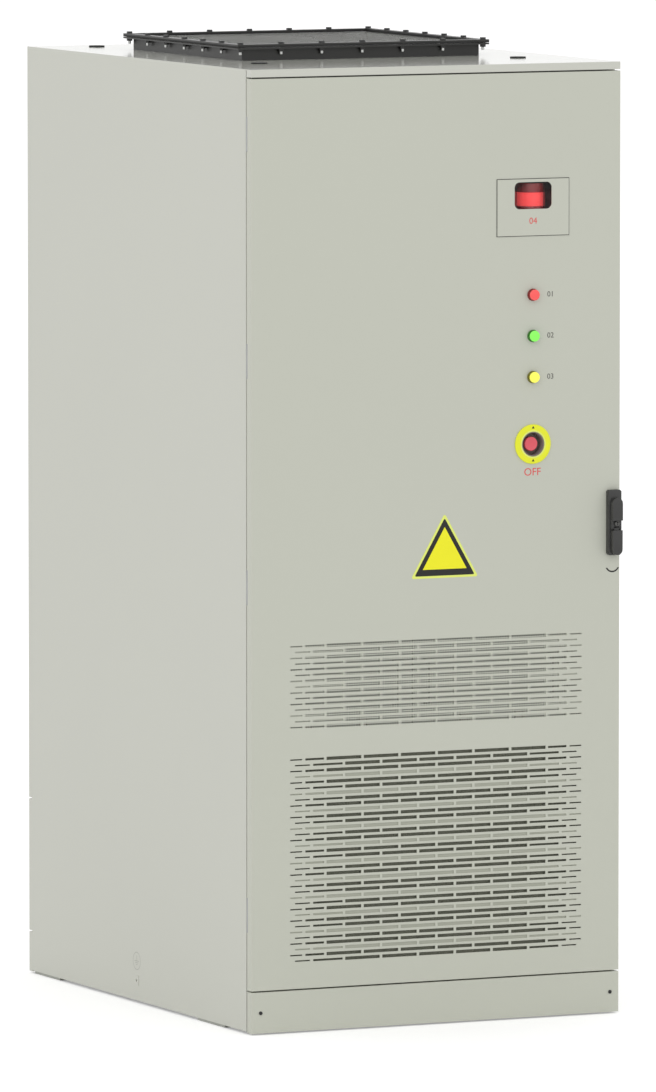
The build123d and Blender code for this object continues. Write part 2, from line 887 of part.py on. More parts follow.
def slot_wires(top, rows):
    """Wires of every slot of one vent, on the door's front plane."""
    wires = []
    for row in range(rows):
        z = top - row * slot_pitch_z
        for x, wide, high in slot_row(row % 2 == 1):
            corners = [(x - wide / 2, z - high / 2), (x + wide / 2, z - high / 2),
                       (x + wide / 2, z + high / 2), (x - wide / 2, z + high / 2)]
            wires.append(hole_wire(corners))
    return wires


def hole_wire(points):
    """Wire through X, Z points on the door's front plane."""
    return Wire.make_polygon([(x, front_plane, z) for x, z in points])


def lamp_places():
    return [(control_x, lamp_top_z - i * lamp_pitch) for i in range(lamp_count)]


def door_skin():
    """Front sheet with its slots and the holes for what it carries."""
    holes = slot_wires(lower_vent_top, lower_vent_rows) + slot_wires(upper_vent_top, upper_vent_rows)
    holes += [hole_wire(polygon(x, z, lamp_radius + fit, small_sides)) for x, z in lamp_places()]
    holes.append(hole_wire(polygon(control_x, stop_z, stop_cup_radius + fit, wide_sides)))
    holes.append(hole_wire(polygon(handle_x, handle_pivot_z, spindle_radius + 2 * fit, small_sides)))
    wide = window_width / 2 + window_overlap + fit
    high = window_height / 2 + window_overlap + fit
    opening = [(-wide, -high), (wide, -high), (wide, high), (-wide, high)]
    holes.append(hole_wire([(control_x + a, window_z + b) for a, b in opening]))
    edge = [(-half_width, door_bottom), (half_width, door_bottom), (half_width, door_top),
            (-half_width, door_top)]
    return Solid.extrude(Face(hole_wire(edge), holes), Vector(0, door_sheet, 0))


def door_panel():
    """Folded door: slotted skin, returns, inner lip and the notches for the hinges."""
    pan = tray(-half_width, half_width, front_plane, door_back, door_bottom, door_top,
               door_sheet, door_lip, "front")
    pan -= block(-half_width, half_width, front_plane, skin_back, door_bottom, door_top)
    for z in hinge_heights:
        half = hinge_length / 2 + knuckle_gap
        pan -= block(-half_width, hinge_x + knuckle_radius + fit, door_back - hinge_notch, door_back,
                     z - half, z + half)
    return door_skin() + pan + rod_guides()


def door_stiffeners():
    """Two upright hat rails on the back of the door skin."""
    rails = []
    outer = half_width - door_lip - stiffener_margin
    for side in (-1, 1):
        x = sorted((side * outer, side * (outer - stiffener_width)))
        rail = block(x[0], x[1], skin_back, skin_back + stiffener_depth,
                     door_bottom + door_lip, door_top - door_lip)
        rails.append(rail - block(x[0] + stiffener_sheet, x[1] - stiffener_sheet, skin_back,
                                  skin_back + stiffener_depth - stiffener_sheet,
                                  door_bottom + door_lip, door_top - door_lip))
    return group(rails)


def door_seal():
    """Foam ring on the door's inner lip."""
    outer = half_width - door_lip + seal_width + seal_margin
    inner = outer - seal_width
    low = door_bottom + door_lip - seal_width - seal_margin
    high = door_top - door_lip + seal_width + seal_margin
    back = body_front - seal_squeeze
    ring = block(-outer, outer, door_back, back, low, high)
    return ring - block(-inner, inner, door_back, back, low + seal_width, high - seal_width)


def vent_span(top, rows):
    """Lowest and highest edge of what covers a vent from behind."""
    return top - (rows - 1) * slot_pitch_z - vent_margin, top + vent_margin


def slat_grid():
    """Front of the filter cassette: one cross bar behind every third row of slots."""
    low, high = vent_span(lower_vent_top, lower_vent_rows)
    back = skin_back + slat_sheet
    frame = block(-vent_inner_half, vent_inner_half, skin_back, back, low, high)
    inner = vent_inner_half - vent_margin / 2
    openings = []
    bar_rows = range(slat_rows, lower_vent_rows - 1, slat_rows)
    edges = [high - vent_margin / 2]
    for row in bar_rows:
        z = lower_vent_top - row * slot_pitch_z
        openings.append((z + slat_height / 2, edges[-1]))
        edges.append(z - slat_height / 2)
    openings.append((low + vent_margin / 2, edges[-1]))
    for z0, z1 in openings:
        frame -= block(-inner, inner, skin_back, back, z0, z1)
    return frame


def filter_frame():
    """Cassette behind the lower vent: slats in front, filter mat inside, flange at the back."""
    low, high = vent_span(lower_vent_top, lower_vent_rows)
    y0 = skin_back + slat_sheet
    return slat_grid() + tray_back(-vent_inner_half, vent_inner_half, y0, y0 + filter_depth, low, high)


def tray_back(x0, x1, y0, y1, z0, z1):
    """Open-fronted tray with a flange round its back opening."""
    frame = block(x0, x1, y0, y1, z0, z1)
    wall = filter_wall
    frame -= block(x0 + wall, x1 - wall, y0, y1 - wall, z0 + wall, z1 - wall)
    return frame - block(x0 + filter_flange, x1 - filter_flange, y1 - wall, y1, z0 + filter_flange,
                         z1 - filter_flange)


def filter_mat():
    low, high = vent_span(lower_vent_top, lower_vent_rows)
    y0 = skin_back + slat_sheet
    inset = filter_wall + fit
    return block(-vent_inner_half + inset, vent_inner_half - inset, y0 + fit,
                 y0 + filter_depth - filter_wall - fit, low + inset, high - inset)


def upper_mesh():
    """Fine mesh sheet clamped behind the upper vent."""
    low, high = vent_span(upper_vent_top, upper_vent_rows)
    return block(-vent_inner_half, vent_inner_half, skin_back, skin_back + mesh_sheet, low, high)


# ================================================================ controls
def alarm_plate():
    """Cover plate with the rounded window in its upper part."""
    front = front_plane - alarm_plate_sheet
    plate = block(control_x - alarm_plate_width / 2, control_x + alarm_plate_width / 2, front, front_plane,
                  alarm_plate_z - alarm_plate_height / 2, alarm_plate_z + alarm_plate_height / 2)
    hole = Pos(control_x, front_plane, window_z) * Rot(90, 0, 0) * extrude(
        RectangleRounded(window_width, window_height, window_corner), alarm_plate_sheet)
    return plate - hole


def alarm_window():
    wide = window_width / 2 + window_overlap
    high = window_height / 2 + window_overlap
    return block(control_x - wide, control_x + wide, front_plane, front_plane + pane_sheet,
                 window_z - high, window_z + high)


def beacon_case():
    """Black box behind the window, open towards it."""
    wide = window_width / 2 + window_overlap + beacon_case_margin
    high = window_height / 2 + window_overlap + beacon_case_margin
    case = block(control_x - wide, control_x + wide, skin_back, skin_back + beacon_case_depth,
                 window_z - high, window_z + high)
    wall = beacon_case_wall
    return case - block(control_x - wide + wall, control_x + wide - wall, skin_back,
                        skin_back + beacon_case_depth - wall, window_z - high + wall, window_z + high - wall)


def beacon_dome():
    """Red lens standing on the floor of its case."""
    floor = window_z - window_height / 2 - window_overlap - beacon_case_margin + beacon_case_wall
    y = skin_back + beacon_radius + beacon_standoff
    dome = prism_z(polygon(control_x + beacon_offset, y, beacon_radius, round_sides), floor,
                   floor + beacon_height)
    return chamfer(dome.edges().group_by(Axis.Z)[-1], beacon_chamfer)


def lamp(index):
    """Signal lamp: barrel through the door, bezel and domed lens."""
    x, z = lamp_places()[index]
    back = front_plane - lamp_bezel_height
    lens = prism_y(polygon(x, z, lamp_radius, round_sides), back - lamp_dome, back)
    lens = chamfer(lens.edges().group_by(Axis.Y)[0], lamp_chamfer)
    barrel = prism_y(polygon(x, z, lamp_radius, small_sides), back, skin_back + lamp_body_depth)
    return lens + barrel + prism_y(polygon(x, z, lamp_bezel, round_sides), back, front_plane)


def stop_plate():
    """Yellow ring round the stop button."""
    front = front_plane - stop_plate_sheet
    ring = prism_y(polygon(control_x, stop_z, stop_plate_radius, wide_sides), front, front_plane)
    hole = polygon(control_x, stop_z, stop_cup_radius + fit, wide_sides)
    return ring - prism_y(hole, front, front_plane)


def stop_planes():
    """Button front and back, cup floor and block back, along Y."""
    button_front = front_plane + stop_button_recess
    button_back = button_front + stop_button_height
    floor_front = button_back + stop_travel + stop_clearance
    return button_front, button_back, floor_front, floor_front + stop_cup_wall


def stop_housing():
    """Cup that guards the button, with the contact block behind it."""
    button_front, button_back, floor_front, floor_back = stop_planes()
    front = front_plane - stop_plate_sheet
    cup = prism_y(polygon(control_x, stop_z, stop_cup_radius, wide_sides), front, floor_back)
    inner = polygon(control_x, stop_z, stop_cup_radius - stop_cup_wall, wide_sides)
    cup -= prism_y(inner, front, floor_front)
    half_x = stop_block_width / 2
    half_z = stop_block_height / 2
    cup += block(control_x - half_x, control_x + half_x, floor_back, floor_back + stop_block_depth,
                 stop_z - half_z, stop_z + half_z)
    reach = button_back + stop_travel + 3 * stop_spigot_length
    return cup - prism_y(hexagon(control_x, stop_z, stop_stem_flats + 2 * fit), floor_front, reach)


def stop_stem():
    """Sprung hexagonal stem with the round spigot that the button turns on."""
    button_front, button_back, floor_front, floor_back = stop_planes()
    stem = prism_y(hexagon(control_x, stop_z, stop_stem_flats), button_back + fit,
                   floor_back + stop_spigot_length)
    return stem + disc_y(control_x, stop_z, stop_spigot_radius, button_back - stop_spigot_length + fit,
                         button_back + fit)


def stop_button():
    button_front, button_back, floor_front, floor_back = stop_planes()
    button = prism_y(polygon(control_x, stop_z, stop_button_radius, round_sides), button_front, button_back)
    button = chamfer(button.edges().group_by(Axis.Y)[0], stop_button_chamfer)
    return button - disc_y(control_x, stop_z, stop_spigot_radius + pin_play,
                           button_back - stop_spigot_length, button_back)


# ================================================================ handle and lock
def handle_base():
    """Raised base of the swing handle, fixed to the door skin."""
    half = handle_width / 2
    base = block(handle_x - half, handle_x + half, handle_front, front_plane,
                 handle_bottom, handle_bottom + handle_height)
    base = chamfer(base.edges().filter_by(Axis.Y), handle_chamfer)
    return base - disc_y(handle_x, handle_pivot_z, spindle_radius + pin_play, handle_front, front_plane)


def arch(x, width, bottom, top):
    """Outline with square feet and a half-round head, in X and Z."""
    half = width / 2
    centre = top - half
    turns = [math.pi * i / arch_sides for i in range(arch_sides + 1)]
    head = [(x + half * math.cos(turn), centre + half * math.sin(turn)) for turn in turns]
    return [(x - half, bottom), (x + half, bottom)] + head


def handle_turn():
    """Turning block with the lever's pin between its ears, the spindle and the cam."""
    front = handle_front - fit
    bottom = lever_pin_z + lever_pocket
    top = handle_pivot_z + turn_block_height / 2
    part = prism_y(arch(handle_x, turn_block_width, bottom, top), front - turn_block_depth, front)
    pin_y = front - turn_neck_depth / 2
    for side in (-1, 1):
        x = sorted((handle_x + side * (lever_tongue / 2 + fit), handle_x + side * turn_block_width / 2))
        part += block(x[0], x[1], front - turn_neck_depth, front, lever_pin_z, bottom)
        part += prism_x(polygon(pin_y, lever_pin_z, turn_neck_depth / 2, small_sides), x[0], x[1])
    part += block(handle_x - turn_block_width / 2, handle_x + turn_block_width / 2, front - turn_neck_depth,
                  front, lever_pin_z + neck_rise, bottom)
    part += disc_x(pin_y, lever_pin_z, lever_pin_radius, handle_x - turn_block_width / 2,
                   handle_x + turn_block_width / 2)
    cam_front = skin_back + 2 * fit
    part += disc_y(handle_x, handle_pivot_z, spindle_radius, front, cam_front)
    half = cam_radius / math.sqrt(2) + 2 * cam_pin_radius
    part += block(handle_x - half, handle_x + half, cam_front, cam_front + cam_sheet,
                  handle_pivot_z - half, handle_pivot_z + half)
    offset = cam_radius / math.sqrt(2)
    for side in (-1, 1):
        pin = polygon(handle_x + side * offset, handle_pivot_z + side * offset, cam_pin_radius, small_sides)
        part += prism_y(pin, cam_front + cam_sheet, cam_front + cam_sheet + fit + rod_sheet)
    neck_front = front - turn_neck_depth
    return part - disc_y(handle_x, handle_pivot_z - lock_drop, lock_radius + pin_play, neck_front,
                         neck_front + lock_sink)


def handle_lever():
    """Lever that hangs from its pin over the base and lifts to turn the block."""
    back = handle_front - fit
    pin_y = back - turn_neck_depth / 2
    half = lever_width / 2
    shoulder = lever_pin_z - turn_neck_depth / 2 - fit
    tip = handle_bottom + lever_tip_inset
    outline = [(x, -z) for x, z in arch(handle_x, lever_width, -shoulder, -tip)]
    lever = prism_y(outline, back - turn_block_depth, back)
    lever += block(handle_x - lever_tongue / 2, handle_x + lever_tongue / 2, back - turn_neck_depth, back,
                   shoulder, lever_pin_z)
    eye = polygon(pin_y, lever_pin_z, turn_neck_depth / 2, small_sides)
    lever += prism_x(eye, handle_x - lever_tongue / 2, handle_x + lever_tongue / 2)
    return lever - disc_x(pin_y, lever_pin_z, lever_pin_radius + pin_play, handle_x - lever_tongue / 2,
                          handle_x + lever_tongue / 2)


def lock_core():
    """Key cylinder sunk into the neck of the turning block."""
    front = handle_front - fit - turn_neck_depth
    z = handle_pivot_z - lock_drop
    wide, high, deep = key_slot
    core = disc_y(handle_x, z, lock_radius, front - lock_proud, front + lock_sink - fit)
    return core - block(handle_x - wide / 2, handle_x + wide / 2, front - lock_proud,
                        front - lock_proud + deep, z - high / 2, z + high / 2)


def rod_plane():
    """Front and back of the lock rods, along Y."""
    front = skin_back + 2 * fit + cam_sheet + fit
    return front, front + rod_sheet


def lock_rod(side):
    """Flat rod with an eye for the cam's pin; side 1 runs up, side -1 runs down."""
    front, back = rod_plane()
    offset = cam_radius / math.sqrt(2)
    x = handle_x + side * (cam_radius + offset) / 2
    pin_z = handle_pivot_z + side * offset
    end = door_top - door_sheet - rod_end_gap if side > 0 else door_bottom + door_sheet + rod_end_gap
    span = sorted((pin_z, end))
    rod = block(x - rod_width / 2, x + rod_width / 2, front, back, span[0], span[1])
    half = rod_eye / 2
    rod += block(x - half, x + half, front, back, pin_z - half, pin_z + half)
    slot = (cam_radius - offset) / 2 + cam_pin_radius + cam_pin_play
    high = cam_pin_radius + cam_pin_play
    return rod - block(x - slot, x + slot, front, back, pin_z - high, pin_z + high)


def rod_guides():
    """Blocks welded to the door skin that the rods slide through."""
    front, back = rod_plane()
    offset = cam_radius / math.sqrt(2)
    guides = []
    half = rod_width / 2 + fit
    for side, end in ((1, door_top), (-1, door_bottom)):
        x = handle_x + side * (cam_radius + offset) / 2
        for share in guide_shares:
            z = handle_pivot_z + share * (end - handle_pivot_z)
            low = z - guide_height / 2
            high = z + guide_height / 2
            guide = block(x - half - guide_wall, x + half + guide_wall, skin_back, back + fit + guide_wall,
                          low, high)
            guides.append(guide - block(x - half, x + half, front - fit, back + fit, low, high))
    return guides


# ================================================================ hinges
def knuckle_spans(z):
    """Lower frame knuckle, door knuckle and upper frame knuckle, along Z."""
    quarter = hinge_length / 4
    low = z - hinge_length / 2
    high = z + hinge_length / 2
    return ((low, low + quarter), (low + quarter + knuckle_gap, high - quarter - knuckle_gap),
            (high - quarter, high))


def hinge_frame_halves():
    """Frame leaf with two knuckles and the pin between them."""
    halves = []
    for z in hinge_heights:
        lower, middle, upper = knuckle_spans(z)
        leaf_x = hinge_x + hinge_leaf_width
        half = block(hinge_x + knuckle_radius + fit, leaf_x, body_front - hinge_leaf, body_front,
                     lower[0], upper[1])
        for span in (lower, upper):
            half += prism_z(polygon(hinge_x, hinge_y, knuckle_radius, small_sides), span[0], span[1])
            half += block(hinge_x, leaf_x, body_front - hinge_leaf, body_front, span[0], span[1])
        half += disc_z(hinge_x, hinge_y, hinge_pin_radius, lower[0], upper[1])
        halves.append(half)
    return group(halves)


def hinge_door_halves():
    """Door leaf with the middle knuckle, screwed inside the door's return."""
    halves = []
    inside = -half_width + door_sheet
    for z in hinge_heights:
        lower, middle, upper = knuckle_spans(z)
        knuckle = prism_z(polygon(hinge_x, hinge_y, knuckle_radius, small_sides), middle[0], middle[1])
        knuckle += block(inside, inside + hinge_leaf, skin_back + hinge_leaf_standoff, hinge_y,
                         middle[0], middle[1])
        halves.append(knuckle - disc_z(hinge_x, hinge_y, hinge_pin_radius + pin_play, middle[0], middle[1]))
    return group(halves)


def build():
    write("base_frame", base_frame())
    write("corner_posts", corner_posts())
    write("top_frame", top_frame())
    write("depth_rails", depth_rails())
    write("floor_plate", floor_plate())
    write("door_frame", door_frame())
    write("side_panel_left", left_panel())
    write("side_panel_right", side_panel(1))
    kick_top = kick_bottom + rear_kick_height
    cover_top = kick_top + seam + rear_cover_height
    write("rear_kick_plate", rear_panel(kick_bottom, kick_top))
    write("rear_cover", rear_panel(kick_top + seam, cover_top))
    write("rear_panel", rear_panel(cover_top + seam, roof_underside))
    write("roof_panel", roof_panel())
    write("roof_plugs", roof_plugs())
    write("front_kick_plate", kick_plate())

    write("duct_collar", duct_collar())
    write("duct_screen", duct_screen())
    write("duct_gasket", flange_ring(screen_top, gasket_top))
    write("duct_flange", flange_ring(gasket_top, duct_top))
    write("duct_bolts", duct_bolts())
    write("fan_plate", fan_plate())
    write("fan_motor", fan_motor())
    write("fan_rotor", fan_rotor())

    write("rack_shelves", rack_shelves())
    for row in range(module_rows):
        write("battery_row_%d" % (row + 1), battery_row(row))
    write("module_terminals", module_terminals())

    write("gear_plate", gear_plate())
    write("main_breaker", main_breaker())
    write("breaker_toggle", breaker_toggle())
    write("contactors", contactors())
    write("busbars", busbars())
    write("controller", controller())
    write("power_supply", power_supply())
    write("terminal_row", group([mounting_rail(), *terminal_row().solids()]))

    write("door_panel", door_panel())
    write("door_stiffeners", door_stiffeners())
    write("door_seal", door_seal())
    write("filter_frame", filter_frame())
    write("filter_mat", filter_mat())
    write("upper_mesh", upper_mesh())
    write("hinge_frame_halves", hinge_frame_halves())
    write("hinge_door_halves", hinge_door_halves())

    write("alarm_plate", alarm_plate())
    write("alarm_window", alarm_window())
    write("beacon_case", beacon_case())
    write("beacon_dome", beacon_dome())
    write("lamp_red", lamp(0))
    write("lamp_green", lamp(1))
    write("lamp_yellow", lamp(2))
    write("stop_plate", stop_plate())
    write("stop_housing", stop_housing())
    write("stop_stem", stop_stem())
    write("stop_button", stop_button())

    write("handle_base", handle_base())
    write("handle_turn", handle_turn())
    write("handle_lever", handle_lever())
    write("lock_core", lock_core())
    write("lock_rod_upper", lock_rod(1))
    write("lock_rod_lower", lock_rod(-1))


build()
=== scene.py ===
"""Battery cabinet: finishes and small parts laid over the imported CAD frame."""
import math

import bmesh
import bpy
from bpy.props import FloatProperty, FloatVectorProperty, PointerProperty
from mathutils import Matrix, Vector


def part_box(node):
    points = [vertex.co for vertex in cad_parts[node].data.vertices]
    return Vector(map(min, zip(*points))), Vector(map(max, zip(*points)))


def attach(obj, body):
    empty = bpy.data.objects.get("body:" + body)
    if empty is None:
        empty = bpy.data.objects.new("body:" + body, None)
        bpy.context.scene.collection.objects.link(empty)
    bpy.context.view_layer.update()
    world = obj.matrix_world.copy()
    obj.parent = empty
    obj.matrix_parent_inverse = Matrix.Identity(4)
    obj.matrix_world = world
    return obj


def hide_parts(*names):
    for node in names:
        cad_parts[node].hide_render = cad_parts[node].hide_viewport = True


bl_info = {
    "name": "Battery cabinet dresser",
    "version": (1, 0, 0),
    "blender": (4, 5, 0),
    "location": "3D View > Sidebar > Cabinet",
    "description": "Coats, meshes, lamps, marks and fasteners of a floor-standing battery cabinet",
    "category": "Object",
}

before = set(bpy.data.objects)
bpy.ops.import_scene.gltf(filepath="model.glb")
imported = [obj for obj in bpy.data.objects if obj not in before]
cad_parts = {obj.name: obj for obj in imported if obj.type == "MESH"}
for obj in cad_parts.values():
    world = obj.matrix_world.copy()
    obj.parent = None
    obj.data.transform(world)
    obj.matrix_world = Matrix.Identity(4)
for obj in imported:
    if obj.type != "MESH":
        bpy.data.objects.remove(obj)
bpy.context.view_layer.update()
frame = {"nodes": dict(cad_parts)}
NODES = frame["nodes"]
MODULE_ROWS = (1, 2, 3)
FRONT_TURN = (math.pi / 2, 0, 0)


def linear(red, green, blue):
    """Display colour, 0 to 255, as a linear colour."""
    def channel(value):
        value /= 255
        return value / 12.92 if value <= 0.04045 else ((value + 0.055) / 1.055) ** 2.4
    return (channel(red), channel(green), channel(blue))


def centre(node):
    low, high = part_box(node)
    return (low + high) / 2


# ---------------------------------------------------------------- settings
class CabinetCoats(bpy.types.PropertyGroup):
    shell: FloatVectorProperty(name="Shell coat", description="Powder coat of the door and the front",
                               subtype="COLOR", size=3, min=0, max=1, default=linear(201, 203, 190))
    # a lighter copy of the shell coat: painted light on the sides, back and roof
    side: FloatVectorProperty(name="Side coat", description="The same coat on the sides, back and roof",
                              subtype="COLOR", size=3, min=0, max=1, default=linear(207, 208, 198))
    frame: FloatVectorProperty(name="Frame coat", description="Coat of the inner frame",
                               subtype="COLOR", size=3, min=0, max=1, default=linear(168, 170, 162))
    black: FloatVectorProperty(name="Black coat", description="Coat of the duct and the fan motor",
                               subtype="COLOR", size=3, min=0, max=1, default=linear(46, 46, 45))
    zinc: FloatVectorProperty(name="Zinc plate", description="Plated sheet inside the cabinet",
                              subtype="COLOR", size=3, min=0, max=1, default=linear(178, 180, 180))
    screen: FloatVectorProperty(name="Duct screen", description="Wire screen in the duct",
                                subtype="COLOR", size=3, min=0, max=1, default=linear(196, 197, 190))
    module: FloatVectorProperty(name="Module case", description="Case of the battery modules",
                                subtype="COLOR", size=3, min=0, max=1, default=linear(62, 65, 68))
    filter: FloatVectorProperty(name="Filter fleece", description="Filter mat behind the lower vent",
                                subtype="COLOR", size=3, min=0, max=1, default=linear(128, 130, 116))
    roughness: FloatProperty(name="Coat roughness", description="Roughness of the powder coat",
                             subtype="FACTOR", min=0, max=1, default=0.42)


class CabinetSignals(bpy.types.PropertyGroup):
    red: FloatVectorProperty(name="Red lens", description="Colour of the red lamp", subtype="COLOR",
                             size=3, min=0, max=1, default=linear(243, 84, 82))
    green: FloatVectorProperty(name="Green lens", description="Colour of the green lamp", subtype="COLOR",
                               size=3, min=0, max=1, default=linear(126, 236, 84))
    yellow: FloatVectorProperty(name="Yellow lens", description="Colour of the yellow lamp", subtype="COLOR",
                                size=3, min=0, max=1, default=linear(250, 244, 84))
    ring: FloatVectorProperty(name="Stop ring", description="Yellow of the stop button's ring",
                              subtype="COLOR", size=3, min=0, max=1, default=linear(240, 244, 40))
    button: FloatVectorProperty(name="Stop button", description="Red of the stop button", subtype="COLOR",
                                size=3, min=0, max=1, default=linear(228, 84, 96))
    beacon: FloatVectorProperty(name="Beacon", description="Red of the beacon behind its window",
                                subtype="COLOR", size=3, min=0, max=1, default=linear(232, 70, 72))
    dome: FloatProperty(name="Lens rise", description="How far a lamp's lens stands in front of its bezel",
                        subtype="DISTANCE", unit="LENGTH", min=0.004, max=0.009, default=0.0086)


class CabinetMarks(bpy.types.PropertyGroup):
    digit: FloatProperty(name="Digit height", description="Height of the lamp numbers", subtype="DISTANCE",
                         unit="LENGTH", min=0.004, max=0.03, default=0.0105)
    stop_digit: FloatProperty(name="Stop word height", description="Height of the word under the stop button",
                              subtype="DISTANCE", unit="LENGTH", min=0.004, max=0.03, default=0.0150)
    gap: FloatProperty(name="Lamp to number", description="From a lamp's centre to its number",
                       subtype="DISTANCE", unit="LENGTH", min=0.02, max=0.08, default=0.030)
    plate_x: FloatProperty(name="Plate across", description="Middle of the triangular plate",
                           subtype="DISTANCE", unit="LENGTH", default=0.0169)
    plate_edge: FloatVectorProperty(name="Plate edge", description="Side, foot height and corner radius",
                                    size=3, default=(0.146, 0.8808, 0.006))
    plate_rim: FloatVectorProperty(name="Plate rim", description="Side, foot height and corner radius",
                                   size=3, default=(0.1304, 0.8853, 0.0038))
    plate_field: FloatVectorProperty(name="Plate field", description="Side, foot height and corner radius",
                                     size=3, default=(0.0955, 0.8979, 0.0006))
    dark: FloatVectorProperty(name="Dark ink", description="Ink of the lamp numbers", subtype="COLOR",
                              size=3, min=0, max=1, default=linear(84, 84, 80))
    red: FloatVectorProperty(name="Red ink", description="Ink of the red marks", subtype="COLOR",
                             size=3, min=0, max=1, default=linear(226, 84, 84))
    thickness: FloatProperty(name="Print thickness", description="Thickness of a print or foil",
                             subtype="DISTANCE", unit="LENGTH", min=0.0001, max=0.001, default=0.0002)


class CabinetStudio(bpy.types.PropertyGroup):
    camera: FloatVectorProperty(name="Camera place", description="Where the camera stands",
                                subtype="TRANSLATION", unit="LENGTH", size=3,
                                default=(-9.7133, -20.7084, 2.9741))
    turn: FloatProperty(name="Camera turn", description="Turn of the camera's view from straight ahead",
                        subtype="ANGLE", unit="ROTATION", default=math.radians(25.226))
    dip: FloatProperty(name="Camera dip", description="How far the view dips below level",
                       subtype="ANGLE", unit="ROTATION", default=math.radians(5.193))
    lens: FloatProperty(name="Focal length", description="Focal length in millimetres on a 36 mm sensor",
                        min=10, max=1000, default=377.55)
    sky: FloatProperty(name="Sky strength", description="Strength of the even light all round",
                       min=0, max=5, default=0.86)
    key: FloatProperty(name="Key light", description="Power of the large soft lamp in watts",
                       min=0, max=5000, default=60)


# ---------------------------------------------------------------- modelling helpers
def fresh(name):
    """The object that the last primitive made, renamed."""
    made = bpy.context.object
    made.name = name
    made.data.name = name
    return made


def nothing_selected():
    if bpy.context.object and bpy.context.object.mode != "OBJECT":
        bpy.ops.object.mode_set(mode="OBJECT")
    bpy.ops.object.select_all(action="DESELECT")


def only(*objects):
    nothing_selected()
    for item in objects:
        item.select_set(True)
    bpy.context.view_layer.objects.active = objects[0]


def add_box(name, low, high):
    nothing_selected()
    low, high = Vector(low), Vector(high)
    bpy.ops.mesh.primitive_cube_add(size=1, location=(low + high) / 2)
    made = fresh(name)
    made.scale = high - low
    bpy.ops.object.transform_apply(location=True, rotation=True, scale=True)
    return made


TURNS = {"Y": FRONT_TURN, "Z": (0, 0, 0)}


def add_disc(name, middle, radius, length, along="Y", sides=48):
    """Closed cylinder along an axis, its place in its mesh."""
    nothing_selected()
    bpy.ops.mesh.primitive_cylinder_add(vertices=sides, radius=radius, depth=length, location=middle,
                                        rotation=TURNS[along])
    made = fresh(name)
    bpy.ops.object.transform_apply(location=True, rotation=True, scale=True)
    return made


def faces_where(item, test):
    """In edit mode, selects the faces whose centre and normal pass the test."""
    only(item)
    bpy.ops.object.mode_set(mode="EDIT")
    bpy.ops.mesh.select_mode(type="FACE")
    bpy.ops.mesh.select_all(action="DESELECT")
    shape = bmesh.from_edit_mesh(item.data)
    count = 0
    for face in shape.faces:
        if test(face.calc_center_median(), face.normal):
            face.select_set(True)
            count += 1
    shape.select_flush_mode()
    bmesh.update_edit_mesh(item.data)
    if not count:
        raise RuntimeError("no face of " + item.name + " matches")


def front_faces(item):
    """Selects the faces that look to the front and stand furthest forward."""
    reach = min(vertex.co.y for vertex in item.data.vertices)
    faces_where(item, lambda place, normal: normal.y < -0.9 and place.y < reach + 1e-5)


def finish_edit(item):
    bpy.ops.mesh.select_all(action="SELECT")
    bpy.ops.mesh.normals_make_consistent(inside=False)
    bpy.ops.object.mode_set(mode="OBJECT")


def apply_modifiers(item):
    only(item)
    for modifier in list(item.modifiers):
        bpy.ops.object.modifier_apply(modifier=modifier.name)


def soften(item, width, segments=2, angle=30):
    """Rounds the edges and applies the modifier."""
    bevel = item.modifiers.new("Edge radius", "BEVEL")
    bevel.width = width
    bevel.segments = segments
    bevel.limit_method = "ANGLE"
    bevel.angle_limit = math.radians(angle)
    apply_modifiers(item)
    bpy.ops.object.shade_smooth_by_angle(angle=math.radians(40))
    return item


def joined(name, items):
    only(*items)
    if len(items) > 1:
        bpy.ops.object.join()
    made = fresh(name)
    bpy.ops.object.transform_apply(location=True, rotation=True, scale=True)
    return made


def merged_copy(node, name):
    """Copy of a CAD node with its loose triangles joined up, ready for an edge radius."""
    nothing_selected()
    source = NODES[node]
    made = source.copy()
    made.data = source.data.copy()
    made.parent = None
    made.matrix_world.identity()
    bpy.context.scene.collection.objects.link(made)
    made.name = name
    made.data.name = name
    made.hide_render = False
    only(made)
    bpy.ops.object.mode_set(mode="EDIT")
    bpy.ops.mesh.select_mode(type="VERT")
    bpy.ops.mesh.select_all(action="SELECT")
    bpy.ops.mesh.remove_doubles(threshold=1e-6)
    bpy.ops.mesh.dissolve_limited(angle_limit=math.radians(0.5))
    bpy.ops.object.mode_set(mode="OBJECT")
    return made


def open_and_bridge(item, border):
    """Makes a frame of a closed slab that looks to the front, by opening both faces inside a border."""
    faces_where(item, lambda place, normal: abs(normal.y) > 0.9)
    bpy.ops.mesh.inset(thickness=border, depth=0)
    bpy.ops.mesh.delete(type="ONLY_FACE")
    bpy.ops.mesh.select_mode(type="EDGE")
    bpy.ops.mesh.select_all(action="DESELECT")
    bpy.ops.mesh.select_non_manifold()
    bpy.ops.mesh.bridge_edge_loops()
    finish_edit(item)


def step_in(border, push):
    """Insets the selected faces by a border, then moves the inner ones along Y."""
    bpy.ops.mesh.inset(thickness=border, depth=0)
    bpy.ops.transform.translate(value=(0, push, 0))


def coat(item, material):
    item.data.materials.clear()
    item.data.materials.append(material)


def dress(item, finish, body, node=None):
    """Gives a piece its finish and its body, and lets it stand for a CAD node."""
    coat(item, finish_named(finish))
    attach(item, body)
    if node:
        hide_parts(node)


def rounded_node(node, suffix, radius, finish, body, segments=2):
    """Replaces a CAD node by a copy of itself with rounded edges."""
    piece = merged_copy(node, node + suffix)
    soften(piece, radius, segments=segments)
    dress(piece, finish, body, node)


def coat_node(node, material):
    """Puts a finish on a CAD node."""
    for place in NODES[node].material_slots:
        place.material = material


TEXT_SIZE_SHARE = 1.42    # the font's size for capitals one unit high


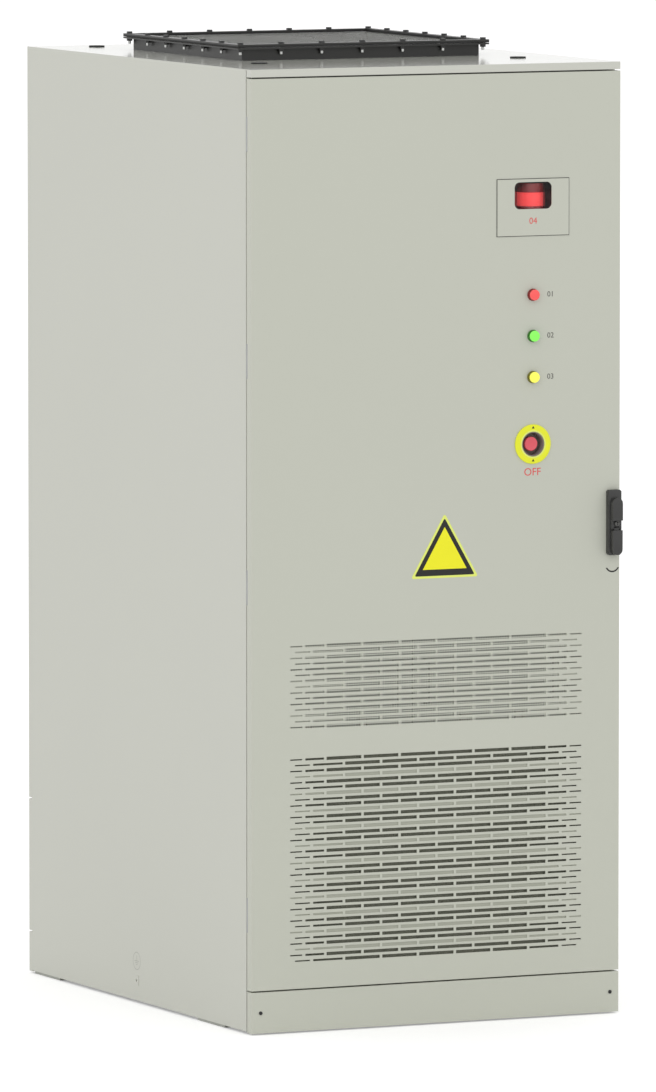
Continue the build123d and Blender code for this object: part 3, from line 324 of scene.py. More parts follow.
def sprayed_text(name, body, height, middle, material):
    """Printed characters on a face that looks to the front, as a thin mesh."""
    marks = bpy.context.scene.cabinet_marks
    nothing_selected()
    bpy.ops.object.text_add(location=(0, 0, 0))
    made = bpy.context.object
    made.data.body = body
    made.data.align_x = "CENTER"
    made.data.align_y = "CENTER"
    made.data.size = height * TEXT_SIZE_SHARE
    made.data.extrude = marks.thickness / 2
    made.data.resolution_u = 4
    made.rotation_euler = FRONT_TURN
    bpy.ops.object.convert(target="MESH")
    made = fresh(name)
    bpy.ops.object.transform_apply(location=False, rotation=True, scale=True)
    made.location = middle
    bpy.ops.object.transform_apply(location=True, rotation=False, scale=False)
    coat(made, material)
    return made


# ---------------------------------------------------------------- shared effects
def new_group(name, inputs, outputs):
    group = bpy.data.node_groups.new(name, "ShaderNodeTree")
    for label, value in inputs:
        socket = group.interface.new_socket(label, in_out="INPUT", socket_type="NodeSocketFloat")
        socket.default_value = value
    group.interface.new_socket("Place", in_out="INPUT", socket_type="NodeSocketVector")
    for label in outputs:
        group.interface.new_socket(label, in_out="OUTPUT", socket_type="NodeSocketFloat")
    return group, group.nodes.new("NodeGroupInput"), group.nodes.new("NodeGroupOutput")


def powder_grain():
    """Orange peel of a powder coat and a slow drift of its tone."""
    name = "powder_grain"
    if name in bpy.data.node_groups:
        return bpy.data.node_groups[name]
    group, source, result = new_group(name, [("Peel size", 900.0), ("Drift size", 2.2)], ["Tone", "Height"])
    peel = group.nodes.new("ShaderNodeTexNoise")
    peel.inputs["Detail"].default_value = 2.0
    drift = group.nodes.new("ShaderNodeTexNoise")
    drift.inputs["Detail"].default_value = 4.0
    drift.inputs["Roughness"].default_value = 0.6
    link = group.links.new
    link(source.outputs["Place"], peel.inputs["Vector"])
    link(source.outputs["Place"], drift.inputs["Vector"])
    link(source.outputs["Peel size"], peel.inputs["Scale"])
    link(source.outputs["Drift size"], drift.inputs["Scale"])
    link(drift.outputs["Fac"], result.inputs["Tone"])
    link(peel.outputs["Fac"], result.inputs["Height"])
    return group


def drawn_lines():
    """Fine lines that rolling or brushing leaves in plated sheet, with cloudy spangle."""
    name = "drawn_lines"
    if name in bpy.data.node_groups:
        return bpy.data.node_groups[name]
    group, source, result = new_group(name, [("Line size", 60.0), ("Cloud size", 9.0)], ["Tone", "Height"])
    stretch = group.nodes.new("ShaderNodeVectorMath")
    stretch.operation = "MULTIPLY"
    stretch.inputs[1].default_value = (1.0, 1.0, 26.0)
    lines = group.nodes.new("ShaderNodeTexNoise")
    lines.inputs["Detail"].default_value = 3.0
    clouds = group.nodes.new("ShaderNodeTexVoronoi")
    blend = group.nodes.new("ShaderNodeMath")
    blend.operation = "MULTIPLY_ADD"
    blend.inputs[1].default_value = 0.5
    link = group.links.new
    link(source.outputs["Place"], stretch.inputs[0])
    link(stretch.outputs["Vector"], lines.inputs["Vector"])
    link(source.outputs["Line size"], lines.inputs["Scale"])
    link(source.outputs["Place"], clouds.inputs["Vector"])
    link(source.outputs["Cloud size"], clouds.inputs["Scale"])
    link(clouds.outputs["Distance"], blend.inputs[0])
    link(lines.outputs["Fac"], blend.inputs[2])
    link(blend.outputs["Value"], result.inputs["Tone"])
    link(lines.outputs["Fac"], result.inputs["Height"])
    return group


def moulded_skin():
    """Fine spark-eroded texture of moulded plastic, with a little handling shine."""
    name = "moulded_skin"
    if name in bpy.data.node_groups:
        return bpy.data.node_groups[name]
    sizes = [("Grain size", 1400.0), ("Smudge size", 30.0)]
    group, source, result = new_group(name, sizes, ["Tone", "Height"])
    grain = group.nodes.new("ShaderNodeTexVoronoi")
    smudge = group.nodes.new("ShaderNodeTexNoise")
    smudge.inputs["Detail"].default_value = 5.0
    link = group.links.new
    link(source.outputs["Place"], grain.inputs["Vector"])
    link(source.outputs["Grain size"], grain.inputs["Scale"])
    link(source.outputs["Place"], smudge.inputs["Vector"])
    link(source.outputs["Smudge size"], smudge.inputs["Scale"])
    link(smudge.outputs["Fac"], result.inputs["Tone"])
    link(grain.outputs["Distance"], result.inputs["Height"])
    return group


def surface(name, colour, roughness, effect, tone=0.03, bump=0.05, gloss=0.06, depth=0.0002, metal=0.0,
            coat_weight=0.0, sizes=None):
    """Principled finish whose colour, gloss and relief follow a shared effect."""
    material = bpy.data.materials.new(name)
    material.use_nodes = True
    tree = material.node_tree
    shader = tree.nodes["Principled BSDF"]
    shader.inputs["Metallic"].default_value = metal
    shader.inputs["Coat Weight"].default_value = coat_weight
    shader.inputs["Coat Roughness"].default_value = 0.12
    place = tree.nodes.new("ShaderNodeTexCoord")
    grain = tree.nodes.new("ShaderNodeGroup")
    grain.node_tree = effect
    for label, value in (sizes or {}).items():
        grain.inputs[label].default_value = value
    shade = tree.nodes.new("ShaderNodeMix")
    shade.data_type = "RGBA"
    shade.inputs["A"].default_value = (*[value * (1 - tone) for value in colour], 1)
    shade.inputs["B"].default_value = (*[min(1, value * (1 + tone)) for value in colour], 1)
    polish = tree.nodes.new("ShaderNodeMapRange")
    polish.inputs["To Min"].default_value = max(0.02, roughness - gloss)
    polish.inputs["To Max"].default_value = min(1, roughness + gloss)
    relief = tree.nodes.new("ShaderNodeBump")
    relief.inputs["Strength"].default_value = bump
    relief.inputs["Distance"].default_value = depth
    link = tree.links.new
    link(place.outputs["Object"], grain.inputs["Place"])
    link(grain.outputs["Tone"], shade.inputs["Factor"])
    link(grain.outputs["Tone"], polish.inputs["Value"])
    link(grain.outputs["Height"], relief.inputs["Height"])
    link(shade.outputs["Result"], shader.inputs["Base Color"])
    link(polish.outputs["Result"], shader.inputs["Roughness"])
    link(relief.outputs["Normal"], shader.inputs["Normal"])
    return material


def glowing(name, colour, roughness, strength):
    """Moulded lens or button that glows in its own colour; on the stop button, which is no lamp, the glow is
    painted light.
    """
    material = surface(name, colour, roughness, moulded_skin(), tone=0.06, bump=0.02, coat_weight=0.5)
    shader = material.node_tree.nodes["Principled BSDF"]
    shade = next(node for node in material.node_tree.nodes if node.type == "MIX")
    material.node_tree.links.new(shade.outputs["Result"], shader.inputs["Emission Color"])
    shader.inputs["Emission Strength"].default_value = strength
    return material


def clear_pane(name):
    """Thin acrylic window."""
    material = surface(name, (0.92, 0.95, 0.93), 0.06, moulded_skin(), tone=0.02, bump=0.01, gloss=0.03)
    shader = material.node_tree.nodes["Principled BSDF"]
    shader.inputs["Transmission Weight"].default_value = 1.0
    shader.inputs["IOR"].default_value = 1.45
    shader.inputs["Alpha"].default_value = 0.35
    return material


MATERIALS = {}


def finish_named(name):
    """Each finish is made once, from the settings."""
    if name in MATERIALS:
        return MATERIALS[name]
    coats = bpy.context.scene.cabinet_coats
    signals = bpy.context.scene.cabinet_signals
    marks = bpy.context.scene.cabinet_marks
    rough = coats.roughness
    peel = powder_grain()
    lines = drawn_lines()
    skin = moulded_skin()
    recipes = {
        "shell_coat": lambda: surface(name, coats.shell, rough, peel, tone=0.012),
        # the side and roof finishes use the lighter copy of the coat: painted light
        "side_coat_lit_copy": lambda: surface(name, coats.side, rough, peel, tone=0.02),
        "roof_coat": lambda: surface(name, coats.side, 0.14, peel, tone=0.015, gloss=0.02, bump=0.01,
                                     coat_weight=0.5),
        "frame_coat": lambda: surface(name, coats.frame, 0.45, peel, tone=0.03),
        "black_coat": lambda: surface(name, coats.black, 0.36, peel, tone=0.08, bump=0.08),
        "lock_steel": lambda: surface(name, linear(92, 92, 90), 0.35, lines, tone=0.08, metal=0.6),
        "handle_black": lambda: surface(name, linear(58, 58, 57), 0.38, skin, tone=0.12, bump=0.06),
        "zinc_plate": lambda: surface(name, coats.zinc, 0.34, lines, tone=0.09, metal=0.85, bump=0.1),
        "bright_steel": lambda: surface(name, linear(205, 206, 204), 0.25, lines, tone=0.05, metal=0.9,
                                        sizes={"Line size": 300.0}),
        "dark_rubber": lambda: surface(name, linear(30, 30, 30), 0.7, skin, tone=0.15, bump=0.2),
        "seal_foam": lambda: surface(name, linear(52, 52, 52), 0.85, skin, tone=0.2, bump=0.5,
                                     sizes={"Grain size": 700.0}),
        "screen_wire": lambda: surface(name, coats.screen, 0.35, peel, tone=0.03),
        "vent_wire": lambda: surface(name, linear(198, 200, 188), 0.45, peel, tone=0.03),
        # darker than the shell coat: painted shade on the slats behind the vent slots
        "slat_coat_painted_shade": lambda: surface(name, linear(176, 178, 164), rough, peel, tone=0.02),
        "filter_fleece": lambda: surface(name, coats.filter, 0.95, skin, tone=0.16, bump=0.9, depth=0.002,
                                         sizes={"Grain size": 420.0, "Smudge size": 60.0}),
        "module_case": lambda: surface(name, coats.module, 0.42, skin, tone=0.08, bump=0.1),
        "black_moulding": lambda: surface(name, linear(36, 36, 37), 0.4, skin, tone=0.12, bump=0.08),
        "grey_moulding": lambda: surface(name, linear(128, 131, 132), 0.42, skin, tone=0.05, bump=0.08),
        "orange_moulding": lambda: surface(name, linear(96, 54, 28), 0.36, skin, tone=0.06),
        "copper_bar": lambda: surface(name, linear(206, 132, 96), 0.28, lines, tone=0.08, metal=1.0),
        "device_white": lambda: surface(name, linear(206, 206, 200), 0.4, skin, tone=0.03),
        "signal_yellow": lambda: surface(name, signals.ring, 0.42, skin, tone=0.03),
        "cup_grey": lambda: surface(name, linear(132, 126, 120), 0.5, skin, tone=0.08),
        # the stop button is no lamp: its emission is a painted glow
        "red_button_painted_glow": lambda: glowing(name, signals.button, 0.3, 0.12),
        "red_lens": lambda: glowing(name, signals.red, 0.2, 0.2),
        "green_lens": lambda: glowing(name, signals.green, 0.2, 0.35),
        "yellow_lens": lambda: glowing(name, signals.yellow, 0.2, 0.35),
        # darker copies of the lens colours for the collars and bezels: painted shade for the shaded side of
        # each lamp
        "red_collar": lambda: surface(name, linear(134, 44, 40), 0.3, skin, tone=0.06),
        "green_collar": lambda: surface(name, linear(58, 124, 36), 0.3, skin, tone=0.06),
        "yellow_collar": lambda: surface(name, linear(122, 118, 30), 0.3, skin, tone=0.06),
        "beacon_lens": lambda: glowing(name, signals.beacon, 0.2, 0.55),
        # darker red for the beacon's cap and foot: painted shade on the parts of the lens that get less light
        "beacon_red_painted_shade": lambda: surface(name, linear(150, 34, 38), 0.2, skin, tone=0.1, coat_weight=0.5),
        "dark_ink": lambda: surface(name, marks.dark, 0.5, skin, tone=0.05),
        "red_ink": lambda: surface(name, marks.red, 0.5, skin, tone=0.05),
        "black_ink": lambda: surface(name, linear(22, 22, 20), 0.45, skin, tone=0.1),
        "faint_ink": lambda: surface(name, linear(178, 179, 170), 0.5, skin, tone=0.04),
        "yellow_foil": lambda: surface(name, linear(250, 246, 18), 0.38, skin, tone=0.02),
        "pale_foil": lambda: surface(name, linear(236, 246, 120), 0.38, skin, tone=0.02),
        "clear_pane": lambda: clear_pane(name),
    }
    MATERIALS[name] = recipes[name]()
    return MATERIALS[name]


# ---------------------------------------------------------------- stage
class CABINET_OT_stage(bpy.types.Operator):
    """Sets the camera, the pale floor and the soft studio light"""
    bl_idname = "cabinet.stage"
    bl_label = "Stage"

    def execute(self, context):
        studio = context.scene.cabinet_studio
        self.camera(context, studio)
        self.floor()
        self.lights(studio)
        self.sky(context, studio)
        context.scene.view_settings.view_transform = "Standard"
        return {"FINISHED"}

    def camera(self, context, studio):
        nothing_selected()
        look = Vector((math.sin(studio.turn) * math.cos(studio.dip),
                       math.cos(studio.turn) * math.cos(studio.dip), -math.sin(studio.dip)))
        bpy.ops.object.camera_add(location=studio.camera, rotation=look.to_track_quat("-Z", "Y").to_euler())
        camera = context.object
        camera.name = "cabinet_camera"
        camera.data.sensor_width = 36
        camera.data.lens = studio.lens
        camera.data.clip_start = 0.5
        camera.data.clip_end = 200
        context.scene.camera = camera

    def floor(self):
        nothing_selected()
        bpy.ops.mesh.primitive_grid_add(x_subdivisions=8, y_subdivisions=8, size=120,
                                        location=(0, 0, -0.0005))
        floor = fresh("studio_floor")
        bpy.ops.object.transform_apply(location=True, rotation=True, scale=True)
        material = surface("floor_paint", (0.93, 0.93, 0.93), 0.85, powder_grain(), tone=0.004, bump=0.0)
        shader = material.node_tree.nodes["Principled BSDF"]
        shader.inputs["Specular IOR Level"].default_value = 0.1
        shader.inputs["Emission Color"].default_value = (1, 1, 1, 1)
        seen = material.node_tree.nodes.new("ShaderNodeLightPath")
        lift = material.node_tree.nodes.new("ShaderNodeMath")
        lift.operation = "MULTIPLY"
        lift.inputs[1].default_value = 0.30
        material.node_tree.links.new(seen.outputs["Is Camera Ray"], lift.inputs[0])
        material.node_tree.links.new(lift.outputs["Value"], shader.inputs["Emission Strength"])
        coat(floor, material)

    def lights(self, studio):
        for name, place, size, power in (("key_lamp", (-4.5, -6.0, 5.5), 5.0, studio.key),
                                         ("rear_lamp", (4.0, 5.0, 6.0), 5.0, studio.key * 0.5)):
            nothing_selected()
            aim = Vector((0, 0, 1.0)) - Vector(place)
            bpy.ops.object.light_add(type="AREA", location=place,
                                     rotation=aim.to_track_quat("-Z", "Y").to_euler())
            lamp = bpy.context.object
            lamp.name = name
            lamp.data.energy = power
            lamp.data.shape = "DISK"
            lamp.data.size = size

    def sky(self, context, studio):
        world = bpy.data.worlds.new("studio_sky")
        world.use_nodes = True
        context.scene.world = world
        tree = world.node_tree
        light = tree.nodes["Background"]
        light.inputs["Color"].default_value = (1, 1, 1, 1)
        light.inputs["Strength"].default_value = studio.sky
        white = tree.nodes.new("ShaderNodeBackground")
        white.inputs["Color"].default_value = (1, 1, 1, 1)
        white.inputs["Strength"].default_value = 1.0
        path = tree.nodes.new("ShaderNodeLightPath")
        either = tree.nodes.new("ShaderNodeMath")
        either.operation = "MAXIMUM"
        both = tree.nodes.new("ShaderNodeMath")
        both.operation = "MAXIMUM"
        mix = tree.nodes.new("ShaderNodeMixShader")
        link = tree.links.new
        link(path.outputs["Is Camera Ray"], either.inputs[0])
        link(path.outputs["Is Glossy Ray"], either.inputs[1])
        link(either.outputs["Value"], both.inputs[0])
        link(path.outputs["Is Transmission Ray"], both.inputs[1])
        link(both.outputs["Value"], mix.inputs["Fac"])
        link(light.outputs["Background"], mix.inputs[1])
        link(white.outputs["Background"], mix.inputs[2])
        link(mix.outputs["Shader"], tree.nodes["World Output"].inputs["Surface"])


# ---------------------------------------------------------------- finishes of the CAD nodes
NODE_FINISHES = {
    "shell_coat": ("door_panel", "front_kick_plate", "alarm_plate"),
    "slat_coat_painted_shade": ("filter_frame",),
    "side_coat_lit_copy": ("side_panel_left", "side_panel_right", "rear_kick_plate", "rear_cover", "rear_panel"),
    "roof_coat": ("roof_panel",),
    "frame_coat": ("base_frame", "corner_posts", "top_frame", "door_frame", "door_stiffeners", "fan_plate"),
    "black_coat": ("duct_collar", "duct_flange", "fan_motor"),
    "handle_black": ("handle_base", "handle_turn", "handle_lever"),
    "zinc_plate": ("depth_rails", "floor_plate", "rack_shelves", "gear_plate", "hinge_frame_halves",
                   "hinge_door_halves", "lock_rod_upper", "lock_rod_lower", "stop_stem", "power_supply"),
    "lock_steel": ("lock_core",),
    "dark_rubber": ("roof_plugs", "duct_gasket"),
    "seal_foam": ("door_seal",),
    "screen_wire": ("duct_screen",),
    "vent_wire": ("upper_mesh",),
    "filter_fleece": ("filter_mat",),
    "module_case": ("battery_row_1", "battery_row_2", "battery_row_3"),
    "orange_moulding": ("module_terminals",),
    "grey_moulding": ("main_breaker", "contactors", "terminal_row"),
    "black_moulding": ("breaker_toggle", "fan_rotor", "beacon_case", "stop_housing"),
    "device_white": ("controller",),
    "copper_bar": ("busbars",),
    "signal_yellow": ("stop_plate",),
    "red_button_painted_glow": ("stop_button",),
    "beacon_lens": ("beacon_dome",),
    "red_lens": ("lamp_red",),
    "green_lens": ("lamp_green",),
    "yellow_lens": ("lamp_yellow",),
    "clear_pane": ("alarm_window",),
}


def bolt_finish():
    """Grey heads above the flanges, and below them the nuts painted near black: painted shade under the
    flange.
    """
    material = surface("flange_bolts", linear(70, 70, 70), 0.3, drawn_lines(), tone=0.08, metal=0.7)
    tree = material.node_tree
    shader = tree.nodes["Principled BSDF"]
    shade = next(node for node in tree.nodes if node.type == "MIX")
    place = next(node for node in tree.nodes if node.type == "TEX_COORD")
    apart = tree.nodes.new("ShaderNodeSeparateXYZ")
    above = tree.nodes.new("ShaderNodeMath")
    above.operation = "GREATER_THAN"
    above.inputs[1].default_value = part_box("duct_flange")[1].z - 0.001
    flange_shade_mix = tree.nodes.new("ShaderNodeMix")
    flange_shade_mix.data_type = "RGBA"
    # near black below the flange: painted shade on the nuts under it
    flange_shade_mix.inputs["A"].default_value = (0.05, 0.05, 0.05, 1)
    tree.links.new(place.outputs["Object"], apart.inputs["Vector"])
    tree.links.new(apart.outputs["Z"], above.inputs[0])
    tree.links.new(above.outputs["Value"], flange_shade_mix.inputs["Factor"])
    tree.links.new(shade.outputs["Result"], flange_shade_mix.inputs["B"])
    tree.links.new(flange_shade_mix.outputs["Result"], shader.inputs["Base Color"])
    return material


class CABINET_OT_finishes(bpy.types.Operator):
    """Gives every CAD node its coat, plating, rubber, plastic or lens finish"""
    bl_idname = "cabinet.finishes"
    bl_label = "Finishes"

    def execute(self, context):
        for finish, nodes in NODE_FINISHES.items():
            for node in nodes:
                coat_node(node, finish_named(finish))
        coat_node("duct_bolts", bolt_finish())
        return {"FINISHED"}


# ---------------------------------------------------------------- wire and filter
class CABINET_OT_screens(bpy.types.Operator):
    """Weaves the wire screens of the duct and the upper vent"""
    bl_idname = "cabinet.screens"
    bl_label = "Wire screens"

    def execute(self, context):
        self.weave("duct_wire_screen", "duct_screen", 0.010, 0.0010, "cabinet", "screen_wire", "Z")
        self.weave("vent_wire_screen", "upper_mesh", 0.0052, 0.0019, "door", "vent_wire", "Y")
        return {"FINISHED"}

    def weave(self, name, node, pitch, wire, body, finish, flat):
        low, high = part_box(node)
        size = high - low
        across, along = size.x, size.y if flat == "Z" else size.z
        nothing_selected()
        bpy.ops.mesh.primitive_grid_add(x_subdivisions=round(across / pitch),
                                        y_subdivisions=round(along / pitch), size=1,
                                        location=centre(node), rotation=TURNS[flat])
        screen = fresh(name)
        screen.scale = (across, along, 1)
        bpy.ops.object.transform_apply(location=True, rotation=True, scale=True)
        faces_where(screen, lambda place, normal: True)
        bpy.ops.mesh.inset(thickness=wire / 2, depth=0, use_individual=True)
        bpy.ops.mesh.delete(type="ONLY_FACE")
        bpy.ops.object.mode_set(mode="OBJECT")
        sheet = screen.modifiers.new("Sheet", "SOLIDIFY")
        sheet.thickness = 0.0006
        sheet.offset = 0
        sheet.use_rim = False
        apply_modifiers(screen)
        dress(screen, finish, body, node)


class CABINET_OT_filter(bpy.types.Operator):
    """Lays the uneven fleece of the intake filter in its cassette"""
    bl_idname = "cabinet.filter_fleece"
    bl_label = "Filter fleece"

    def execute(self, context):
        low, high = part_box("filter_mat")
        size = high - low
        rise = 0.0016
        nothing_selected()
        bpy.ops.mesh.primitive_grid_add(x_subdivisions=150, y_subdivisions=96, size=1,
                                        location=((low.x + high.x) / 2, low.y + rise, (low.z + high.z) / 2),
                                        rotation=FRONT_TURN)
        fleece = fresh("intake_fleece")
        fleece.scale = (size.x, size.z, 1)
        bpy.ops.object.transform_apply(location=True, rotation=True, scale=True)
        cloud = bpy.data.textures.new("fleece_lumps", "CLOUDS")
        cloud.noise_scale = 0.018
        lumps = fleece.modifiers.new("Lumps", "DISPLACE")
        lumps.texture = cloud
        lumps.texture_coords = "LOCAL"
        lumps.direction = "Y"
        lumps.strength = rise * 1.6
        lumps.mid_level = 0.5
        body = fleece.modifiers.new("Body", "SOLIDIFY")
        body.thickness = size.y - 2 * rise
        body.offset = -1
        apply_modifiers(fleece)
        faces_where(fleece, lambda place, normal: True)
        finish_edit(fleece)
        if min(vertex.co.y for vertex in fleece.data.vertices) < low.y - 0.001:
            raise RuntimeError("the fleece reaches into the slats")
        bpy.ops.object.shade_smooth_by_angle(angle=math.radians(60))
        dress(fleece, "filter_fleece", "door", "filter_mat")
        return {"FINISHED"}


# ---------------------------------------------------------------- signal lamps
class CABINET_OT_lamps(bpy.types.Operator):
    """Turns the three signal lamps: bezel, collar, lens, body and terminals"""
    bl_idname = "cabinet.lamps"
    bl_label = "Signal lamps"

    lens_radius = 0.0106
    lens_depth = 0.0036
    lens_lap = 0.0004
    collar_radius = 0.0107
    bezel_radius = 0.0122
    bezel_depth = 0.0025
    barrel_radius = 0.0098
    nut_reach = 0.0142
    nut_depth = 0.005
    pin_side = 0.004
    pin_half = Vector((0.0014, 0, 0.0004))
    pin_length = 0.0015

    def execute(self, context):
        rise = context.scene.cabinet_signals.dome
        bezel_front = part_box("door_panel")[0].y - self.bezel_depth
        for colour in ("red", "green", "yellow"):
            node = "lamp_" + colour
            middle = centre(node)
            lens = add_disc(node + "_lens", (middle.x, bezel_front - rise + self.lens_depth / 2, middle.z),
                            self.lens_radius, self.lens_depth)
            front_faces(lens)
            step_in(0.0024, -0.0002)
            finish_edit(lens)
            soften(lens, 0.0010, segments=3)
            dress(lens, colour + "_lens", "door")
            length = rise - self.lens_depth + self.lens_lap
            collar = add_disc(node + "_collar", (middle.x, bezel_front - length / 2, middle.z),
                              self.collar_radius, length)
            # collar and bezel take the lens hue darkened: painted shade
            dress(collar, colour + "_collar", "door")
            bezel = add_disc(node + "_bezel", (middle.x, bezel_front + self.bezel_depth / 2, middle.z),
                             self.bezel_radius, self.bezel_depth)
            soften(bezel, 0.0009, segments=3)
            dress(bezel, colour + "_collar", "door")
            self.body(node, middle)
        return {"FINISHED"}

    def body(self, node, middle):
        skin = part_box("door_stiffeners")[0].y
        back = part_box(node)[1].y
        barrel = add_disc(node + "_barrel", (middle.x, (skin + back) / 2 + 0.001, middle.z),
                          self.barrel_radius, back - skin - 0.002, sides=32)
        nut = add_disc(node + "_nut", (middle.x, skin + 0.003, middle.z), self.nut_reach, self.nut_depth,
                       sides=6)
        soften(nut, 0.0006)
        pins = []
        for side in (-1, 1):
            foot = Vector((middle.x + side * self.pin_side, back, middle.z))
            pins.append(add_box(node + "_pin", foot - self.pin_half - Vector((0, self.pin_length, 0)),
                                foot + self.pin_half))
        body = joined(node + "_body", [barrel, nut, *pins])
        bpy.ops.object.shade_smooth_by_angle(angle=math.radians(40))
        dress(body, "black_moulding", "door", node)


# ---------------------------------------------------------------- stop button
def add_ring(name, middle, outer, inner, length, sides=72):
    """Flat ring that looks to the front."""
    ring = add_disc(name, middle, outer, length, sides=sides)
    open_and_bridge(ring, outer - inner)
    return ring


class CABINET_OT_stop(bpy.types.Operator):
    """Builds the guarded stop button: ring, arrows, cup, contact block and button"""
    bl_idname = "cabinet.stop_button"
    bl_label = "Stop button"

    ring_bore = 0.0248
    rim_outer = 0.0275
    rim_inner = 0.0246
    foil = 0.0004
    arrow_height = 0.0325
    arrow_reach = 0.0034
    arrow_depth = 0.0003
    cup_outer = 0.0245
    cup_inner = 0.0225
    cup_sheet = 0.002
    cup_floor_radius = 0.0226
    stem_bore = 0.0068
    travel_room = 0.0055
    block_half = 0.015
    block_inset = 0.0035

    def execute(self, context):
        low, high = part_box("stop_plate")
        middle = (low + high) / 2
        ring = add_ring("stop_ring", middle, (high.x - low.x) / 2, self.ring_bore, high.y - low.y)
        soften(ring, 0.0009, segments=3)
        dress(ring, "signal_yellow", "door", "stop_plate")
        rim = add_ring("stop_ring_rim", (middle.x, low.y - self.foil / 2, middle.z), self.rim_outer,
                       self.rim_inner, self.foil)
        dress(rim, "pale_foil", "door")
        for side, word in ((-1, "low"), (1, "high")):
            place = (middle.x, low.y - 0.0001, middle.z + side * self.arrow_height)
            arrow = add_disc("stop_arrow_" + word, place, self.arrow_reach, self.arrow_depth, sides=3)
            dress(arrow, "black_ink", "door")
        self.cup(middle, low.y)
        self.button()
        return {"FINISHED"}

    def cup(self, middle, front):
        low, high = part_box("stop_housing")
        floor_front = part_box("stop_button")[1].y + self.travel_room
        floor_back = floor_front + self.cup_sheet
        wall = add_ring("stop_cup_wall", (middle.x, (front + floor_back) / 2, middle.z), self.cup_outer,
                        self.cup_inner, floor_back - front)
        floor = add_ring("stop_cup_floor", (middle.x, (floor_front + floor_back) / 2, middle.z),
                         self.cup_floor_radius, self.stem_bore, self.cup_sheet, sides=48)
        cup = joined("stop_cup", [wall, floor])
        soften(cup, 0.0004)
        dress(cup, "cup_grey", "door", "stop_housing")
        block = add_box("stop_contacts", (middle.x - self.block_half, floor_back, low.z + self.block_inset),
                        (middle.x + self.block_half, high.y, high.z - self.block_inset))
        faces_where(block, lambda place, normal: normal.y > 0.9)
        step_in(0.004, -0.003)
        finish_edit(block)
        soften(block, 0.0008)
        dress(block, "black_moulding", "door")

    def button(self):
        low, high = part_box("stop_button")
        button = add_disc("stop_push", (low + high) / 2, (high.x - low.x) / 2, high.y - low.y, sides=64)
        front_faces(button)
        step_in(0.0042, 0.0010)
        step_in(0.0045, 0.0006)
        finish_edit(button)
        soften(button, 0.0014, segments=3, angle=40)
        # the button's finish carries a painted glow
        dress(button, "red_button_painted_glow", "stop_button", "stop_button")


# ---------------------------------------------------------------- beacon and its window
class CABINET_OT_beacon(bpy.types.Operator):
    """Builds the ribbed beacon on its foot and a dark rubber strip round its window, a painted shadow line of
    the window's plate
    """
    bl_idname = "cabinet.beacon"
    bl_label = "Beacon"

    foot_height = 0.012
    cap_lap = 0.007
    cap_rise = 0.012
    lens_share = 0.93
    cap_share = 0.98
    gasket_edge = 0.0011
    gasket_lap = 0.002
    gasket_depth = 0.0009

    def execute(self, context):
        self.shadow_line_strip()
        low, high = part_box("beacon_dome")
        radius = (high.x - low.x) / 2
        foot_top = low.z + self.foot_height
        lens_top = high.z - self.cap_lap
        foot = self.drum("beacon_foot", radius, low.z, foot_top)
        soften(foot, 0.0012)
        dress(foot, "beacon_red_painted_shade", "door")
        lens = self.drum("beacon_lens_ring", radius * self.lens_share, foot_top, lens_top)
        faces_where(lens, lambda place, normal: abs(normal.z) < 0.1)
        bpy.ops.mesh.inset(thickness=0.0004, depth=0.0007, use_individual=True)
        finish_edit(lens)
        dress(lens, "beacon_lens", "door", "beacon_dome")
        # the cap takes the darker red: painted shade on the top of the beacon
        cap = self.drum("beacon_cap", radius * self.cap_share, lens_top, high.z + self.cap_rise)
        faces_where(cap, lambda place, normal: normal.z > 0.9)
        bpy.ops.mesh.inset(thickness=0.005, depth=0)
        bpy.ops.transform.translate(value=(0, 0, -0.002))
        finish_edit(cap)
        soften(cap, 0.0018, segments=3)
        dress(cap, "beacon_red_painted_shade", "door")
        return {"FINISHED"}

    def drum(self, name, radius, bottom, top):
        middle = centre("beacon_dome")
        return add_disc(name, (middle.x, middle.y, (bottom + top) / 2), radius, top - bottom, along="Z",
                        sides=64)

    # dark strip round the alarm plate: painted shadow line where the plate stands off the door
    def shadow_line_strip(self):
        low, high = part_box("alarm_plate")
        edge = self.gasket_edge
        shadow_line_strip = add_box("alarm_gasket", (low.x - edge, high.y - self.gasket_depth, low.z - edge),
                         (high.x + edge, high.y, high.z + edge))
        open_and_bridge(shadow_line_strip, edge + self.gasket_lap)
        dress(shadow_line_strip, "dark_rubber", "door")


# ---------------------------------------------------------------- handle
class CABINET_OT_handle(bpy.types.Operator):
    """Rounds the edges of the swing handle, its lever and its key cylinder"""
    bl_idname = "cabinet.handle"
    bl_label = "Swing handle"

    def execute(self, context):
        for node, body, radius, finish in (("handle_base", "door", 0.0012, "handle_black"),
                                           ("handle_turn", "handle_turn", 0.0007, "handle_black"),
                                           ("handle_lever", "handle_lever", 0.0009, "handle_black"),
                                           ("lock_core", "lock_core", 0.0003, "lock_steel")):
            rounded_node(node, "_rounded", radius, finish, body)
        return {"FINISHED"}


# ---------------------------------------------------------------- bolts, seal and screws
def pan_head(name, middle, radius, height):
    """Pan head that looks to the front."""
    head = add_disc(name, (middle[0], middle[1] - height / 2, middle[2]), radius, height, sides=32)
    front_faces(head)
    step_in(radius * 0.28, -height * 0.25)
    finish_edit(head)
    return head


def cross_recess_shade(name, middle, radius, height):
    """Dark flat cross on a pan head: painted shade of its cross recess."""
    tip = middle[1] - height * 1.27
    bars = []
    for wide, high in ((0.5, 0.12), (0.12, 0.5)):
        bars.append(add_box(name + "_slot", (middle[0] - radius * wide, tip, middle[2] - radius * high),
                            (middle[0] + radius * wide, tip + 0.0002, middle[2] + radius * high)))
    return joined(name + "_recess", bars)


